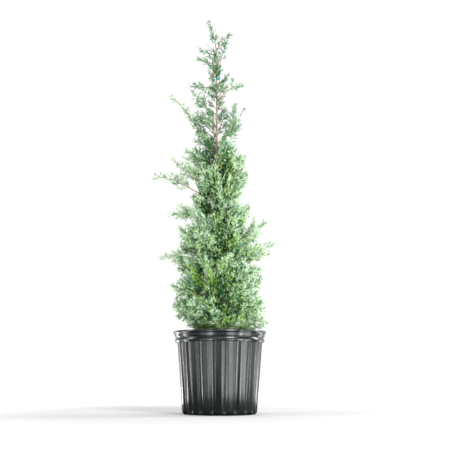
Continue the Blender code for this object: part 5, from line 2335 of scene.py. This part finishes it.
@dataclass
class Studio:
    """A white paper floor, soft boxes, an even white surround and the camera."""

    pitch: float = 10.83
    focal_pixels: float = 796.0
    frame_pixels: float = 450.0
    sensor: float = 36.0
    floor_radius: float = 9.0
    floor_sides: int = 96
    floor_drop: float = 0.0004
    front_light: float = 0.20
    back_light: float = 0.50
    back_gloss: float = 1.2
    back_from: Pair = (-0.2, 0.8)
    white: float = 1.05

    def surround(self) -> None:
        """A white room that gives more light from behind the plant than from the viewer's side."""
        world = bpy.data.worlds.new("white_studio")
        world.use_nodes = True
        tree = world.node_tree
        way = add_node(tree, "ShaderNodeTexCoord").outputs["Generated"]
        depth = add_node(tree, "ShaderNodeSeparateXYZ", None, {0: way}).outputs["Y"]
        rays = add_node(tree, "ShaderNodeLightPath").outputs
        span = {"To Min": self.back_light, "To Max": self.back_gloss}
        glossy = {"Value": rays["Is Glossy Ray"]}
        behind = add_node(tree, "ShaderNodeMapRange", span, glossy).outputs["Result"]
        low, high = self.back_from
        span = {"From Min": low, "From Max": high, "To Min": self.front_light}
        links = {"Value": depth, "To Max": behind}
        strength = add_node(tree, "ShaderNodeMapRange", span, links).outputs["Result"]
        lit = add_node(tree, "ShaderNodeBackground", {"Color": (1, 1, 1, 1)}, {"Strength": strength})
        seen = tree.nodes["Background"]
        seen.inputs["Color"].default_value = (1, 1, 1, 1)
        seen.inputs["Strength"].default_value = self.white
        links = {0: rays["Is Camera Ray"], 1: lit.outputs[0], 2: seen.outputs[0]}
        both = add_node(tree, "ShaderNodeMixShader", None, links)
        tree.links.new(both.outputs[0], tree.nodes["World Output"].inputs["Surface"])
        bpy.context.scene.world = world

    def floor(self) -> None:
        """A sheet of paper that is lit, and further out glows as painted light, to the white of the room
        behind it.
        """
        turns = np.linspace(0, 2 * math.pi, self.floor_sides, endpoint=False)
        edge = self.floor_radius * circle(turns) - self.floor_drop * UP
        mesh = bpy.data.meshes.new("paper_floor")
        mesh.from_pydata(edge.tolist(), [], [tuple(range(len(edge)))])
        mesh.materials.append(StudioPaper().material())
        floor = bpy.data.objects.new("paper_floor", mesh)
        bpy.context.scene.collection.objects.link(floor)

    def build(self) -> None:
        """Make the floor, the lights and the camera."""
        self.floor()
        self.surround()
        for box in SOFT_BOXES:
            box.build()
        lens = bpy.data.cameras.new("camera")
        lens.sensor_width = self.sensor
        lens.lens = self.focal_pixels / self.frame_pixels * self.sensor
        camera = bpy.data.objects.new("camera", lens)
        camera.location = EYE
        camera.rotation_euler = (math.radians(90 + self.pitch), 0, 0)
        bpy.context.scene.collection.objects.link(camera)
        bpy.context.scene.camera = camera
        bpy.context.scene.view_settings.view_transform = "Standard"


def main() -> None:
    """Build the plant from the ground up, and the studio round it."""
    logging.basicConfig(level=logging.INFO, format="%(message)s")
    pot = NurseryPot()
    pot.build()
    PottingMix(pot).build()
    trunk = Trunk()
    skeleton = Skeleton(trunk)
    limbs = [*LIMBS_IN_VIEW, *skeleton.in_depth()]
    trunk.build([(limb.height, math.radians(limb.azimuth)) for limb in limbs])
    crown = Crown(skeleton)
    crown.build()
    second = next(branch for branch in crown.branches if branch.name == "second_leader")
    TieBand(trunk, second).build()
    Studio().build()


if __name__ == "__main__":
    main()
